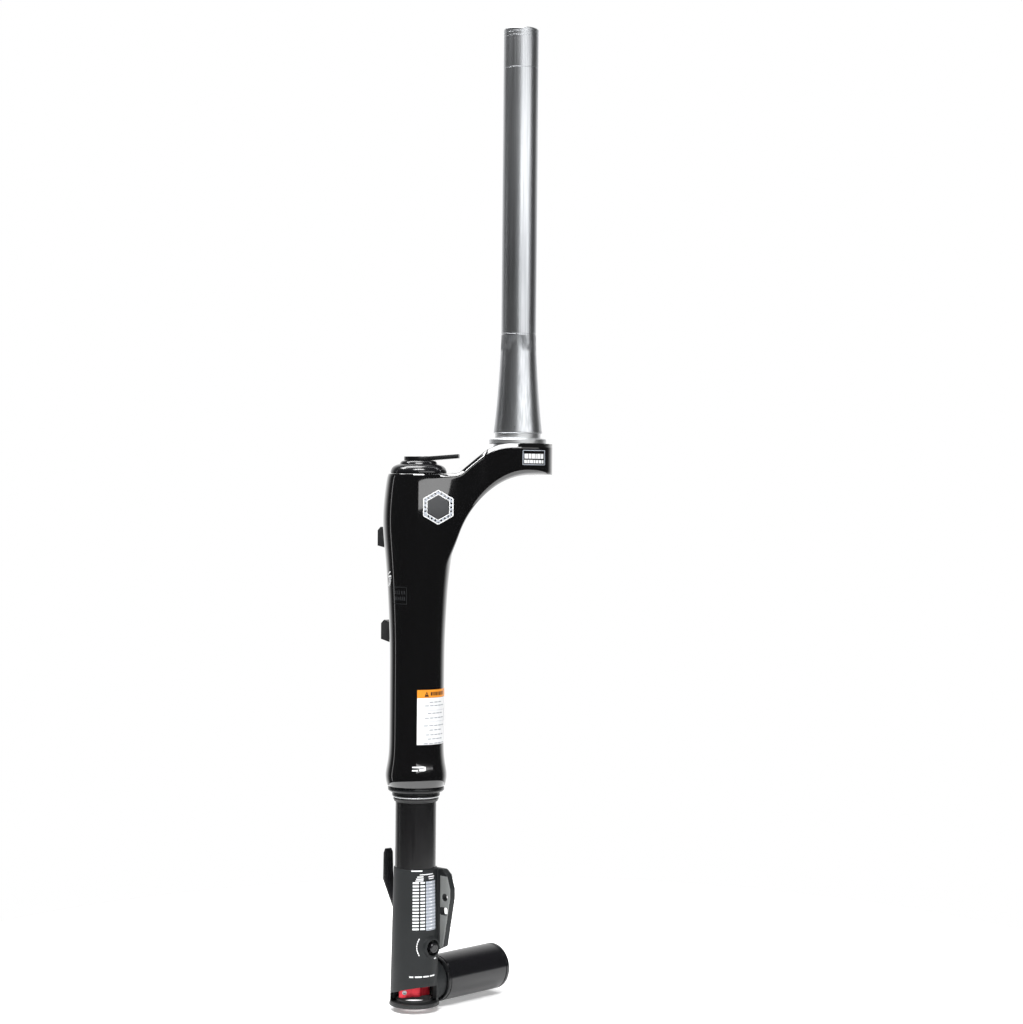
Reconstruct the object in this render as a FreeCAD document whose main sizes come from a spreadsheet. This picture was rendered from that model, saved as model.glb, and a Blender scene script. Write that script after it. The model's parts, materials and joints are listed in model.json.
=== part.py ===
import FreeCAD, Part
import Sketcher
import math
import os

# Single-sided telescopic bicycle fork: one leg beside the wheel, a tapered steerer in a forged
# crown, needle bearings on three flats inside the leg, an air spring, a damper cartridge, and a
# stub spindle that carries the wheel from one side.
# Millimetres.  +Z runs up the steerer, +Y is forward and +X is the rider's right.
# The origin is on the steerer's axis at the crown's top face.

Vector = FreeCAD.Vector
UP = Vector(0, 0, 1)
FORWARD = Vector(0, 1, 0)
RIGHT = Vector(1, 0, 0)
THROUGH = 100.0  # longer than any hole it cuts

doc = FreeCAD.newDocument("single_sided_fork")
sizes = doc.addObject("Spreadsheet::Sheet", "sizes")

DIMENSIONS = {
    # where the leg stands, measured from the steerer's axis
    "leg_offset": 65.0,
    "leg_rake": 50.0,
    "leg_travel": 40.0,
    # steerer
    "steerer_length": 341.1,
    "steerer_radius": 14.3,
    "steerer_wall": 2.4,
    "steerer_lip_height": 9.5,
    "steerer_taper_top": 88.5,
    "steerer_taper_middle": 49.0,
    "steerer_taper_hollow": 0.45,
    "steerer_base_radius": 19.9,
    "steerer_neck_step": 1.1,
    "steerer_neck_top": 8.6,
    "race_flange_width": 3.6,
    "race_flange_height": 4.1,
    "steerer_base_wall": 5.4,
    "steerer_base_bore_height": 55.0,
    "top_chamfer": 1.0,
    # crown
    "crown_wall": 9.6,
    "crown_nose_height": 25.5,
    "crown_leg_wall": 9.8,
    "crown_edge": 3.2,
    "arm_rise_start": 25.0,
    "arm_flat_length": 16.0,
    "arm_rise_soft_start": 12.0,
    "arm_rise_soft_end": 20.0,
    "arm_blend_drop": 3.0,
    "arm_neck_drop": 28.0,
    "arm_blend_share": 0.52,
    "arm_neck_share": 0.36,
    "arm_foot_share": 0.28,
    "flank_start_drop": 12.0,
    "flank_bulge_drop": 32.0,
    "flank_neck_rise": 34.0,
    "flank_neck_inset": 8.0,
    "gusset_tip_width": 12.0,
    "gusset_drop": 82.5,
    # outer tube
    "tube_top_drop": 25.6,
    "tube_length": 255.2,
    "tube_top_wall": 9.0,
    "tube_shoulder_wall": 12.5,
    "tube_shoulder_drop": 38.0,
    "tube_waist_wall": 5.75,
    "tube_waist_drop": 148.0,
    "tube_waist_length": 78.0,
    "tube_belly_wall": 8.6,
    "tube_belly_height": 10.3,
    "tube_end_wall": 7.1,
    "bearing_room": 1.9,
    # seals under the outer tube
    "nut_wall": 6.3,
    "nut_height": 4.7,
    "nut_depth": 2.0,
    "housing_wall": 3.05,
    "housing_height": 3.5,
    "wiper_wall": 1.8,
    "wiper_height": 3.8,
    "wiper_lip_height": 1.0,
    "wiper_lip_wall": 1.2,
    "garter_wall": 2.6,
    "garter_height": 0.8,
    # sliding inner tube and its bearings
    "stanchion_radius": 16.7,
    "stanchion_wall": 2.9,
    "flat_depth": 1.5,
    "flat_length": 185.0,
    "race_width": 12.0,
    "race_thickness": 0.8,
    "roller_radius": 0.97,
    "roller_length": 8.6,
    "roller_pitch": 5.0,
    "cage_length": 100.0,
    "cage_thickness": 1.4,
    "running_gap": 0.05,
    "loose_gap": 0.35,
    "foot_gap": 13.7,
    # top cap and lockout
    "cap_wall": 6.3,
    "cap_height": 11.0,
    "cap_crown_radius": 13.0,
    "cap_plug_depth": 14.0,
    "cap_seal_depth": 7.0,
    "seal_section": 2.2,
    "lever_reach": 33.0,
    "lever_root": 11.0,
    "lever_tip_width": 12.0,
    "lever_rise": 5.2,
    "lever_thickness": 3.2,
    "lever_hub_radius": 12.0,
    "lever_hub_height": 3.0,
    "lever_gap": 0.1,
    "lever_root_share": 0.72,
    "lever_sink_depth": 1.6,
    "lever_sink_width": 2.2,
    "lever_turn": 14.0,
    "lockout_shaft_radius": 2.0,
    # damper cartridge
    "cartridge_radius": 10.0,
    "cartridge_wall": 1.2,
    "cartridge_length": 200.0,
    "cartridge_engagement": 7.6,
    "floating_piston_drop": 44.4,
    "floating_piston_height": 12.0,
    "valve_drop": 72.4,
    "valve_height": 10.0,
    "seal_head_height": 12.0,
    "shaft_radius": 5.0,
    "shaft_neck_radius": 4.0,
    "rod_radius": 2.0,
    "rod_top_drop": 2.0,
    "needle_radius": 1.6,
    "needle_gap": 0.6,
    "needle_point": 3.0,
    "damper_piston_height": 10.0,
    "damper_piston_gap": 20.0,
    "shim_height": 2.0,
    "piston_nut_height": 4.0,
    "piston_nut_radius": 5.6,
    # air spring
    "air_piston_height": 16.0,
    "air_piston_overlap": 6.0,
    "air_seal_height": 3.2,
    "glide_ring_height": 4.0,
    "glide_ring_thickness": 1.0,
    "top_out_height": 4.0,
    "bumper_inset": 3.5,
    "bottom_out_height": 12.0,
    "air_head_height": 12.0,
    "snap_ring_height": 1.2,
    "snap_ring_depth": 0.7,
    # foot casting
    "foot_top_wall": 1.05,
    "foot_bottom_wall": 3.2,
    "socket_depth": 50.5,
    "axle_below_foot_top": 95.7,
    "foot_below_axle": 14.3,
    "cavity_inset": 1.4,
    "cavity_above_axle": 2.4,
    "shaft_nut_radius": 8.0,
    "shaft_nut_height": 4.5,
    "window_width": 37.0,
    "window_left_drop": 8.0,
    "window_middle_drop": 1.6,
    "window_right_drop": 1.5,
    "window_top": 0.6,
    "window_bearing": 221.0,
    "guard_height": 3.2,
    "guard_stand": 4.0,
    "guard_plug_height": 2.6,
    "guard_wall": 1.2,
    # brake mount fin, in the plane of the brake disc
    "fin_offset": 12.0,
    "fin_thickness": 6.0,
    "fin_top_drop": 1.6,
    "fin_height": 63.4,
    "fin_top_reach": 24.5,
    "fin_full_reach": 28.5,
    "fin_full_drop": 17.0,
    "fin_foot_reach": 21.0,
    "brake_hole_radius": 2.9,
    "brake_hole_reach": 22.2,
    "brake_hole_drop": 24.5,
    "brake_slot_width": 8.0,
    "brake_slot_height": 6.0,
    "brake_slot_reach": 18.9,
    "brake_slot_drop": 36.0,
    # hose horn on the front of the foot and hose guides on the outer tube
    "horn_width": 9.0,
    "horn_stand": 9.6,
    "horn_depth": 18.3,
    "horn_rise": 11.0,
    "horn_straight": 15.0,
    "horn_foot_drop": 43.0,
    "horn_bend_drop": 24.0,
    "horn_top_slope": 4.0,
    "horn_top_inset": 3.0,
    "horn_screw_drop": 8.0,
    "horn_screw_sink": 3.5,
    "horn_screw_head_height": 2.0,
    "horn_screw_reach": 4.0,
    "guide_width": 10.0,
    "upper_guide_stand": 26.3,
    "upper_guide_drop": 44.0,
    "upper_guide_height": 19.6,
    "lower_guide_stand": 21.3,
    "lower_guide_drop": 121.0,
    "lower_guide_height": 20.0,
    "hose_radius": 2.6,
    "hose_sink": 0.6,
    "guide_root_stand": 2.9,
    "guide_lip": 3.5,
    "guide_top_slope": 0.18,
    "guide_nose_start": 0.15,
    "guide_nose_end": 0.80,
    "guide_screw_share": 0.28,
    "guide_screw_stand": 3.5,
    "guide_screw_radius": 2.0,
    "guide_screw_head_radius": 3.4,
    "guide_screw_head_height": 1.8,
    "screw_head_gap": 0.2,
    # air valve on the back of the foot
    "valve_height_above_axle": 31.7,
    "valve_boss_radius": 8.0,
    "valve_boss_stand": 5.0,
    "valve_dish_radius": 6.4,
    "valve_dish_depth": 4.5,
    "valve_hole_depth": 7.2,
    "valve_body_radius": 2.6,
    "valve_body_length": 6.5,
    "valve_pin_radius": 0.8,
    "valve_cap_radius": 4.3,
    "valve_cap_length": 6.2,
    # spindle, measured along its axis from the leg's axis
    "spindle_shank_radius": 12.0,
    "spindle_root_inset": 0.7,
    "spindle_boss_stand": 4.5,
    "spindle_boss_radius": 17.0,
    "root_ring_radius": 19.0,
    "root_ring_width": 3.6,
    "inner_seat_radius": 15.0,
    "inner_seat_stand": 11.3,
    "inner_seat_length": 15.0,
    "spindle_waist_radius": 13.4,
    "outer_seat_radius": 12.5,
    "outer_seat_stand": 51.3,
    "outer_seat_length": 16.0,
    "spindle_bore_radius": 6.0,
    "spindle_bore_depth": 30.0,
    "cover_radius": 19.2,
    "cover_wall": 1.2,
    "cover_length": 69.3,
    "cover_end_length": 4.5,
    # rebound knob
    "knob_drop": 6.3,
    "knob_height": 8.5,
    "knob_arm_inset": 6.5,
    "knob_arm_radius": 4.3,
    "knob_hub_radius": 6.5,
    "knob_bearing": 169.0,
    "knob_screw_radius": 1.9,
    "knob_screw_length": 3.0,
    "knob_screw_turn": 64.0,
    "knob_screw_inset": 0.4,
    "knob_screw_end_gap": 0.2,
    "knob_screw_socket_share": 0.55,
    "knob_screw_socket_depth": 1.5,
}

for row, (alias, amount) in enumerate(DIMENSIONS.items(), start=1):
    sizes.set(f"A{row}", alias)
    sizes.set(f"B{row}", str(amount))
    sizes.setAlias(f"B{row}", alias)

# Radii and reaches that follow the tube they fit on or in, by a wall, a step or a gap.
RADII = {
    "guide_root": "sizes.stanchion_radius + sizes.guide_root_stand",
    "guide_screw_start": "sizes.stanchion_radius + sizes.guide_screw_stand",
    "steerer_bore_radius": "sizes.steerer_radius - sizes.steerer_wall",
    "steerer_base_bore_radius": "sizes.steerer_base_radius - sizes.steerer_base_wall",
    "steerer_neck_radius": "sizes.steerer_base_radius - sizes.steerer_neck_step",
    "race_flange_radius": "sizes.steerer_base_radius + sizes.race_flange_width",
    "crown_nose_radius": "sizes.steerer_base_radius + sizes.crown_wall",
    "steerer_taper_radius":
        "(sizes.steerer_radius + sizes.steerer_base_radius) / 2 - sizes.steerer_taper_hollow",
    "crown_leg_radius": "sizes.stanchion_radius + sizes.crown_leg_wall",
    "tube_top_radius": "sizes.stanchion_radius + sizes.tube_top_wall",
    "tube_shoulder_radius": "sizes.stanchion_radius + sizes.tube_shoulder_wall",
    "tube_waist_radius": "sizes.stanchion_radius + sizes.tube_waist_wall",
    "tube_belly_radius": "sizes.stanchion_radius + sizes.tube_belly_wall",
    "tube_end_radius": "sizes.stanchion_radius + sizes.tube_end_wall",
    "tube_bore_radius": "sizes.stanchion_radius + sizes.bearing_room",
    "nut_radius": "sizes.stanchion_radius + sizes.nut_wall",
    "housing_radius": "sizes.stanchion_radius + sizes.housing_wall",
    "wiper_radius": "sizes.stanchion_radius + sizes.wiper_wall",
    "wiper_lip_radius": "sizes.stanchion_radius + sizes.wiper_lip_wall",
    "garter_radius": "sizes.stanchion_radius + sizes.garter_wall",
    "stanchion_bore_radius": "sizes.stanchion_radius - sizes.stanchion_wall",
    "flat_distance": "sizes.stanchion_radius - sizes.flat_depth",
    "cap_radius": "sizes.stanchion_radius + sizes.cap_wall",
    "bumper_radius": "sizes.stanchion_radius - sizes.bumper_inset",
    "foot_top_radius": "sizes.stanchion_radius + sizes.foot_top_wall",
    "foot_bottom_radius": "sizes.stanchion_radius + sizes.foot_bottom_wall",
    "cavity_radius": "sizes.stanchion_radius - sizes.cavity_inset",
    "guard_radius": "sizes.stanchion_radius + sizes.guard_stand",
    "horn_inner_reach": "sizes.stanchion_radius + sizes.horn_stand",
    "horn_outer_reach": "sizes.stanchion_radius + sizes.horn_depth",
    "upper_guide_reach": "sizes.stanchion_radius + sizes.upper_guide_stand",
    "lower_guide_reach": "sizes.stanchion_radius + sizes.lower_guide_stand",
    "valve_boss_reach": "sizes.stanchion_radius + sizes.valve_boss_stand",
    "spindle_root": "sizes.stanchion_radius - sizes.spindle_root_inset",
    "spindle_boss": "sizes.stanchion_radius + sizes.spindle_boss_stand",
    "inner_seat_start": "sizes.stanchion_radius + sizes.inner_seat_stand",
    "outer_seat_start": "sizes.stanchion_radius + sizes.outer_seat_stand",
    "knob_arm": "sizes.stanchion_radius - sizes.knob_arm_inset",
}

radii = doc.addObject("App::FeaturePython", "radii")
levels = doc.addObject("App::FeaturePython", "levels")
doc.recompute()
for alias, expression in RADII.items():
    radii.addProperty("App::PropertyFloat", alias, "Radii", "")
    radii.setExpression(alias, expression)
doc.recompute()


def level(name, expression):
    """Keep a worked-out size on the levels object, and return its expression."""
    levels.addProperty("App::PropertyFloat", name, "Levels", "")
    levels.setExpression(name, expression)
    return f"({expression})"


# Heights down the leg, each from the piece above it.
tube_top = level("tube_top", "-sizes.tube_top_drop")
tube_bottom = level("tube_bottom", f"{tube_top} - sizes.tube_length")
nut_bottom = level("nut_bottom", f"{tube_bottom} - sizes.nut_height")
housing_bottom = level("housing_bottom", f"{nut_bottom} - sizes.housing_height")
wiper_bottom = level("wiper_bottom", f"{housing_bottom} - sizes.wiper_height")
lip_bottom = level("lip_bottom", f"{wiper_bottom} - sizes.wiper_lip_height")
foot_top = level("foot_top", f"{lip_bottom} - sizes.leg_travel - sizes.foot_gap")
socket_floor = level("socket_floor", f"{foot_top} - sizes.socket_depth")
axle_height = level("axle_height", f"{foot_top} - sizes.axle_below_foot_top")
foot_bottom = level("foot_bottom", f"{axle_height} - sizes.foot_below_axle")
cavity_top = level("cavity_top", f"{axle_height} + sizes.cavity_above_axle")
guard_bottom = level("guard_bottom", f"{foot_bottom} - sizes.guard_height")
nut_seat = level("nut_seat", f"{cavity_top} + sizes.shaft_nut_height + 0.5")
valve_height = level("valve_height", f"{axle_height} + sizes.valve_height_above_axle")

# Heights inside the leg, from the top cap down.
plug_bottom = level("plug_bottom", f"{tube_top} - sizes.cap_plug_depth")
cartridge_top = level("cartridge_top", f"{plug_bottom} + sizes.cartridge_engagement")
cartridge_bottom = level("cartridge_bottom", f"{cartridge_top} - sizes.cartridge_length")
bumper_bottom = level("bumper_bottom", f"{plug_bottom} - sizes.bottom_out_height")
inner_top = level("inner_top", f"{bumper_bottom} - sizes.leg_travel - 2")
air_piston_top = level("air_piston_top", f"{cartridge_bottom} + sizes.air_piston_overlap")
air_piston_bottom = level("air_piston_bottom", f"{air_piston_top} - sizes.air_piston_height")
air_seal_top = level("air_seal_top", f"{air_piston_top} - 3.5")
glide_top = level("glide_top", f"{air_seal_top} - sizes.air_seal_height - 2")
top_out_top = level("top_out_top", f"{air_piston_top} + sizes.top_out_height")
air_head_bottom = level("air_head_bottom", f"{top_out_top} + 0.5")
air_head_top = level("air_head_top", f"{air_head_bottom} + sizes.air_head_height")
seal_head_top = level("seal_head_top", f"{cartridge_bottom} + sizes.seal_head_height")
floating_top = level("floating_top", f"{plug_bottom} - sizes.floating_piston_drop")
floating_bottom = level("floating_bottom", f"{floating_top} - sizes.floating_piston_height")
valve_top = level("valve_top", f"{plug_bottom} - sizes.valve_drop")
valve_bottom = level("valve_bottom", f"{valve_top} - sizes.valve_height")
piston_bottom = level("piston_bottom", f"{seal_head_top} + sizes.damper_piston_gap")
rod_top = level("rod_top", f"{piston_bottom} - sizes.rod_top_drop")
piston_top = level("piston_top", f"{piston_bottom} + sizes.damper_piston_height")
shim_top = level("shim_top", f"{piston_top} + sizes.shim_height")
piston_nut_top = level("piston_nut_top", f"{shim_top} + sizes.piston_nut_height")
cap_top = level("cap_top", f"{tube_top} + sizes.cap_height")

# The bearings hang between the flats: races on both tubes, cages half way through the travel.
flat_bottom = level("flat_bottom", f"{tube_bottom} + 4")
flat_top = level("flat_top", f"{flat_bottom} + sizes.flat_length")
cage_bottom = level("cage_bottom", f"{flat_bottom} + sizes.leg_travel / 2 + 1")
cage_top = level("cage_top", f"{cage_bottom} + sizes.cage_length")
inner_race = level("inner_race", "radii.flat_distance + sizes.race_thickness")
outer_race = level("outer_race", f"{inner_race} + 2 * sizes.roller_radius + 0.06")
roller_line = level("roller_line", f"({inner_race} + {outer_race}) / 2")
outer_race_back = level("outer_race_back", f"{outer_race} + sizes.race_thickness")

cartridge_bore = "(sizes.cartridge_radius - sizes.cartridge_wall)"
sealed_bore = f"({cartridge_bore} - sizes.running_gap)"
shaft_bore = "(sizes.shaft_radius + sizes.running_gap)"
rod_bore = "(sizes.rod_radius + sizes.running_gap)"
lockout_bore = "(sizes.lockout_shaft_radius + sizes.running_gap)"
tube_fit = "(radii.tube_bore_radius - sizes.running_gap)"
seal_bore = "(sizes.stanchion_radius + sizes.running_gap)"
loose_bore = "(sizes.stanchion_radius + sizes.loose_gap)"
air_bore = "(radii.stanchion_bore_radius - sizes.running_gap)"
cartridge_clear = "(sizes.cartridge_radius + sizes.running_gap)"
doc.recompute()

LEG = ("-sizes.leg_offset", "sizes.leg_rake", "0")
STEERER = ("0", "0", "0")
SPINDLE = ("-sizes.leg_offset", "sizes.leg_rake", axle_height)
VALVE = ("-sizes.leg_offset", "sizes.leg_rake", valve_height)
ALONG_X = FreeCAD.Rotation(FORWARD, 90)
BACKWARD = FreeCAD.Rotation(RIGHT, 90)
parts = []


def origin_plane(body, role):
    return next(item for item in body.Origin.OriginFeatures if item.Role == role)


def place(piece, where, turn=None):
    """Put a piece at a point given by three expressions."""
    if turn is not None:
        piece.Placement = FreeCAD.Placement(Vector(), turn)
    for letter, expression in zip("xyz", where):
        piece.setExpression(f"Placement.Base.{letter}", expression)


def outline_sketch(body, name, role, outline):
    """Closed outline of straight edges whose corners are bound to the sheet."""
    sketch = body.newObject("Sketcher::SketchObject", name)
    sketch.AttachmentSupport = [(origin_plane(body, role), "")]
    sketch.MapMode = "FlatFace"
    count = len(outline)
    for i in range(count):
        turn = 2 * math.pi * i / count
        after = 2 * math.pi * (i + 1) / count
        start = Vector(30 + 9 * math.cos(turn), 9 * math.sin(turn), 0)
        end = Vector(30 + 9 * math.cos(after), 9 * math.sin(after), 0)
        sketch.addGeometry(Part.LineSegment(start, end), False)
    for i in range(count):
        sketch.addConstraint(Sketcher.Constraint("Coincident", i, 2, (i + 1) % count, 1))
    for i, (across, along) in enumerate(outline):
        for kind, expression in (("DistanceX", across), ("DistanceY", along)):
            index = sketch.addConstraint(Sketcher.Constraint(kind, i, 1, 1.0))
            sketch.setExpression(f"Constraints[{index}]", expression)
    return sketch


def turned(name, outline, where=LEG, turn=None):
    """A turned piece: radius and height pairs swept about the piece's own axis."""
    body = doc.addObject("PartDesign::Body", name)
    body.Label = name
    sketch = outline_sketch(body, f"{name}_outline", "XZ_Plane", outline)
    revolution = body.newObject("PartDesign::Revolution", f"{name}_turning")
    revolution.Profile = sketch
    revolution.ReferenceAxis = (sketch, ["V_Axis"])
    revolution.Angle = 360
    body.Tip = revolution
    place(body, where, turn)
    parts.append(body)
    return body


def ring(name, inner, outer, low, high, where=LEG, turn=None):
    """A plain ring or sleeve."""
    corners = [(inner, low), (outer, low), (outer, high), (inner, high)]
    return turned(name, corners, where, turn)


def rod(name, radius, low, high, where=LEG, turn=None):
    """A plain solid rod or disc."""
    return ring(name, "0", radius, low, high, where, turn)


def fixed(name, shape):
    """A piece whose solid is worked out below from the sheet's values."""
    feature = doc.addObject("Part::Feature", name)
    feature.Label = name
    feature.Shape = shape
    parts.append(feature)
    return feature


def leg_point(across=0.0, forward=0.0, height=0.0):
    """A point given from the leg's axis."""
    return Vector(across - sizes.leg_offset, forward + sizes.leg_rake, height)


def cylinder(radius, start, direction, length):
    return Part.makeCylinder(radius, length, start, direction)


def block(low, high):
    span = high - low
    return Part.makeBox(span.x, span.y, span.z, low)


def slab(points, direction):
    """Solid made by pushing a flat outline of points along a direction."""
    wire = Part.makePolygon(points + [points[0]])
    return Part.Face(wire).extrude(direction)


# ---------------------------------------------------------------- steerer and crown

turned("steerer_tube", [
    ("radii.steerer_base_bore_radius", "-sizes.crown_nose_height"),
    ("sizes.steerer_base_radius", "-sizes.crown_nose_height"),
    ("sizes.steerer_base_radius", "0"),
    ("radii.race_flange_radius", "0"),
    ("radii.race_flange_radius", "sizes.race_flange_height - 0.8"),
    ("radii.race_flange_radius - 1.2", "sizes.race_flange_height"),
    ("radii.steerer_neck_radius", "sizes.race_flange_height"),
    ("radii.steerer_neck_radius", "sizes.steerer_neck_top"),
    ("sizes.steerer_base_radius", "sizes.steerer_neck_top"),
    ("sizes.steerer_base_radius", "sizes.steerer_lip_height"),
    ("radii.steerer_taper_radius", "sizes.steerer_taper_middle"),
    ("sizes.steerer_radius", "sizes.steerer_taper_top"),
    ("sizes.steerer_radius", "sizes.steerer_length - sizes.top_chamfer"),
    ("sizes.steerer_radius - sizes.top_chamfer", "sizes.steerer_length"),
    ("radii.steerer_bore_radius", "sizes.steerer_length"),
    ("radii.steerer_bore_radius", "sizes.steerer_taper_top"),
    ("radii.steerer_base_bore_radius", "sizes.steerer_base_bore_height"),
], STEERER)


def tube_skin():
    """Outer tube's skin: swollen at the shoulder and at the nut, slim between them."""
    waist = levels.tube_top - sizes.tube_waist_drop
    belly = levels.tube_bottom + sizes.tube_belly_height
    knots = [
        (radii.tube_top_radius, levels.tube_top),
        (radii.tube_shoulder_radius, levels.tube_top - sizes.tube_shoulder_drop),
        (radii.tube_waist_radius, waist),
        (radii.tube_waist_radius, waist - sizes.tube_waist_length),
        (radii.tube_belly_radius, belly),
        (radii.tube_end_radius, levels.tube_bottom),
    ]
    points = [Vector(radius, 0, height) for radius, height in knots]
    level_out = Vector(0, 0, -1)
    edges = []
    flare = Vector(0.16, 0, -1)
    tuck = Vector(-0.3, 0, -1)
    starts = [flare, level_out, level_out, level_out, level_out, tuck]
    for i in range(len(points) - 1):
        reach = (points[i + 1] - points[i]).Length / 3
        poles = [
            points[i],
            points[i] + starts[i] * reach,
            points[i + 1] - starts[i + 1] * reach,
            points[i + 1],
        ]
        curve = Part.BezierCurve()
        curve.setPoles(poles)
        edges.append(curve.toShape())
    axis_top = Vector(0, 0, levels.tube_top)
    axis_bottom = Vector(0, 0, levels.tube_bottom)
    edges.append(Part.makeLine(points[-1], axis_bottom))
    edges.append(Part.makeLine(axis_bottom, axis_top))
    edges.append(Part.makeLine(axis_top, points[0]))
    skin = Part.Face(Part.Wire(edges)).revolve(Vector(), UP, 360)
    skin.translate(leg_point())
    return skin


def crown_arm():
    """Forged arm from the steerer down to the leg, swept out below into a gusset."""
    to_steerer = Vector(sizes.leg_offset, -sizes.leg_rake, 0)
    length = to_steerer.Length
    along = to_steerer / length
    side = Vector(-along.y, along.x, 0)
    base = -sizes.tube_top_drop - sizes.gusset_drop

    def at(reach, height, across=0.0):
        return leg_point() + along * reach + side * across + UP * height

    nose = radii.crown_nose_radius
    root = radii.crown_leg_radius
    lean = math.asin((nose - root) / length)
    plan = []
    for reach, radius, start, end in (
        (length, nose, -math.pi / 2 - lean, math.pi / 2 + lean),
        (0, root, math.pi / 2 + lean, 3 * math.pi / 2 - lean),
    ):
        plan.append([
            at(reach + radius * math.cos(angle), base, radius * math.sin(angle))
            for angle in (start, (start + end) / 2, end)
        ])
    outline = Part.Wire([
        Part.Arc(*plan[0]).toShape(),
        Part.makeLine(plan[0][2], plan[1][0]),
        Part.Arc(*plan[1]).toShape(),
        Part.makeLine(plan[1][2], plan[0][0]),
    ])
    column = Part.Face(outline).extrude(UP * -base)

    half = nose + 5
    top = -sizes.tube_top_drop
    belly = -sizes.crown_nose_height
    over = length + half
    under_start = length + 2
    rise_end = length - sizes.arm_flat_length
    foot = sizes.arm_foot_share * length
    rise = Part.BezierCurve()
    rise.setPoles([
        at(sizes.arm_rise_start, top, -half),
        at(sizes.arm_rise_start + sizes.arm_rise_soft_start, top, -half),
        at(rise_end - sizes.arm_rise_soft_end, top / 3, -half),
        at(rise_end, 0, -half),
    ])
    under = Part.BezierCurve()
    under.setPoles([
        at(under_start, belly, -half),
        at(sizes.arm_blend_share * length, belly - sizes.arm_blend_drop, -half),
        at(sizes.arm_neck_share * length, belly - sizes.arm_neck_drop, -half),
        at(foot, base, -half),
    ])
    profile = Part.Wire([
        Part.makeLine(at(0, top, -half), at(sizes.arm_rise_start, top, -half)),
        rise.toShape(),
        Part.makeLine(at(rise_end, 0, -half), at(over, 0, -half)),
        Part.makeLine(at(over, 0, -half), at(over, belly, -half)),
        Part.makeLine(at(over, belly, -half), at(under_start, belly, -half)),
        under.toShape(),
        Part.makeLine(at(foot, base, -half), at(0, base, -half)),
        Part.makeLine(at(0, base, -half), at(0, top, -half)),
    ])
    web = Part.Face(profile).extrude(side * (2 * half))
    flanks = []
    flank_top = belly - sizes.flank_start_drop
    for sign in (1, -1):
        flank = Part.BezierCurve()
        flank.setPoles([
            at(-half, flank_top, sign * (nose + 1)),
            at(-half, belly - sizes.flank_bulge_drop, sign * (nose + 1)),
            at(-half, base + sizes.flank_neck_rise, sign * (nose - sizes.flank_neck_inset)),
            at(-half, base, sign * sizes.gusset_tip_width / 2),
        ])
        flanks.append(flank.toShape())
    front = Part.Wire([
        Part.makeLine(at(-half, 0, -nose - 1), at(-half, 0, nose + 1)),
        Part.makeLine(at(-half, 0, nose + 1), at(-half, flank_top, nose + 1)),
        flanks[0],
        Part.makeLine(at(-half, base, sizes.gusset_tip_width / 2),
                      at(-half, base, -sizes.gusset_tip_width / 2)),
        flanks[1],
        Part.makeLine(at(-half, flank_top, -nose - 1), at(-half, 0, -nose - 1)),
    ])
    narrowed = Part.Face(front).extrude(along * (over + half))
    arm = column.common(web).common(narrowed)
    bevelled = []
    for edge in arm.Edges:
        middle = edge.valueAt((edge.FirstParameter + edge.LastParameter) / 2)
        reach = (middle - leg_point()).dot(along)
        runs_along = abs(edge.tangentAt(edge.FirstParameter).dot(side)) < 0.9
        clear_of_cap = reach > sizes.arm_rise_start - sizes.crown_edge
        if middle.z > top + 0.5 and clear_of_cap and runs_along:
            bevelled.append(edge)
    return arm.makeChamfer(sizes.crown_edge, bevelled)


def crown_and_tube():
    """Crown and outer tube are one forging, bored for the steerer and for the leg."""
    body = crown_arm().fuse(tube_skin())
    base = levels.tube_bottom - 1
    bore = cylinder(radii.tube_bore_radius, leg_point(height=base), UP, levels.tube_top + 1 - base)
    for i in range(3):
        channel = strip_box(
            levels.roller_line, levels.outer_race_back, sizes.race_width + 0.3,
            base, levels.flat_top + 1,
        )
        channel.rotate(leg_point(), UP, 120 * i + 90)
        bore = bore.fuse(channel)
    socket = cylinder(
        sizes.steerer_base_radius, Vector(0, 0, -sizes.crown_nose_height - 1), UP,
        sizes.crown_nose_height + 2,
    )
    body = body.cut(bore).cut(socket)
    for drop, height, reach in guides():
        hole = cylinder(
            sizes.guide_screw_radius,
            leg_point(0, radii.guide_screw_start, drop - sizes.guide_screw_share * height),
            FORWARD, reach,
        )
        body = body.cut(hole)
    return body.removeSplitter()


def strip_box(near, far, width, low, high):
    """Flat strip standing beside the leg's axis, on its +X side."""
    return block(leg_point(near, -width / 2, low), leg_point(far, width / 2, high))


def guides():
    """Top, height and reach of each hose guide on the front of the outer tube."""
    return [
        (levels.tube_top - sizes.upper_guide_drop, sizes.upper_guide_height,
         radii.upper_guide_reach),
        (levels.tube_top - sizes.lower_guide_drop, sizes.lower_guide_height,
         radii.lower_guide_reach),
    ]


fixed("crown_and_outer_tube", crown_and_tube())


def hose_guide(top, height, reach):
    """Wedge screwed to the tube, with a round channel that holds the brake hose."""
    half = sizes.guide_width / 2
    root = radii.guide_root
    screw_height = top - sizes.guide_screw_share * height
    seat = reach - sizes.hose_radius - sizes.guide_lip
    wedge = slab([
        leg_point(-half, root, top - sizes.guide_top_slope * height),
        leg_point(-half, reach - sizes.guide_lip, top),
        leg_point(-half, reach, top - sizes.guide_nose_start * height),
        leg_point(-half, reach, top - sizes.guide_nose_end * height),
        leg_point(-half, root, top - height),
    ], RIGHT * sizes.guide_width)
    hose = cylinder(
        sizes.hose_radius, leg_point(0, reach - sizes.hose_sink, top - 2 * height), UP, 3 * height,
    )
    screw = cylinder(
        sizes.guide_screw_radius, leg_point(0, root, screw_height), FORWARD, THROUGH,
    )
    pocket = cylinder(
        sizes.guide_screw_head_radius, leg_point(0, seat, screw_height), FORWARD, THROUGH,
    )
    skin = tube_skin()
    return wedge.cut(hose).cut(screw).cut(pocket).cut(skin)


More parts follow.
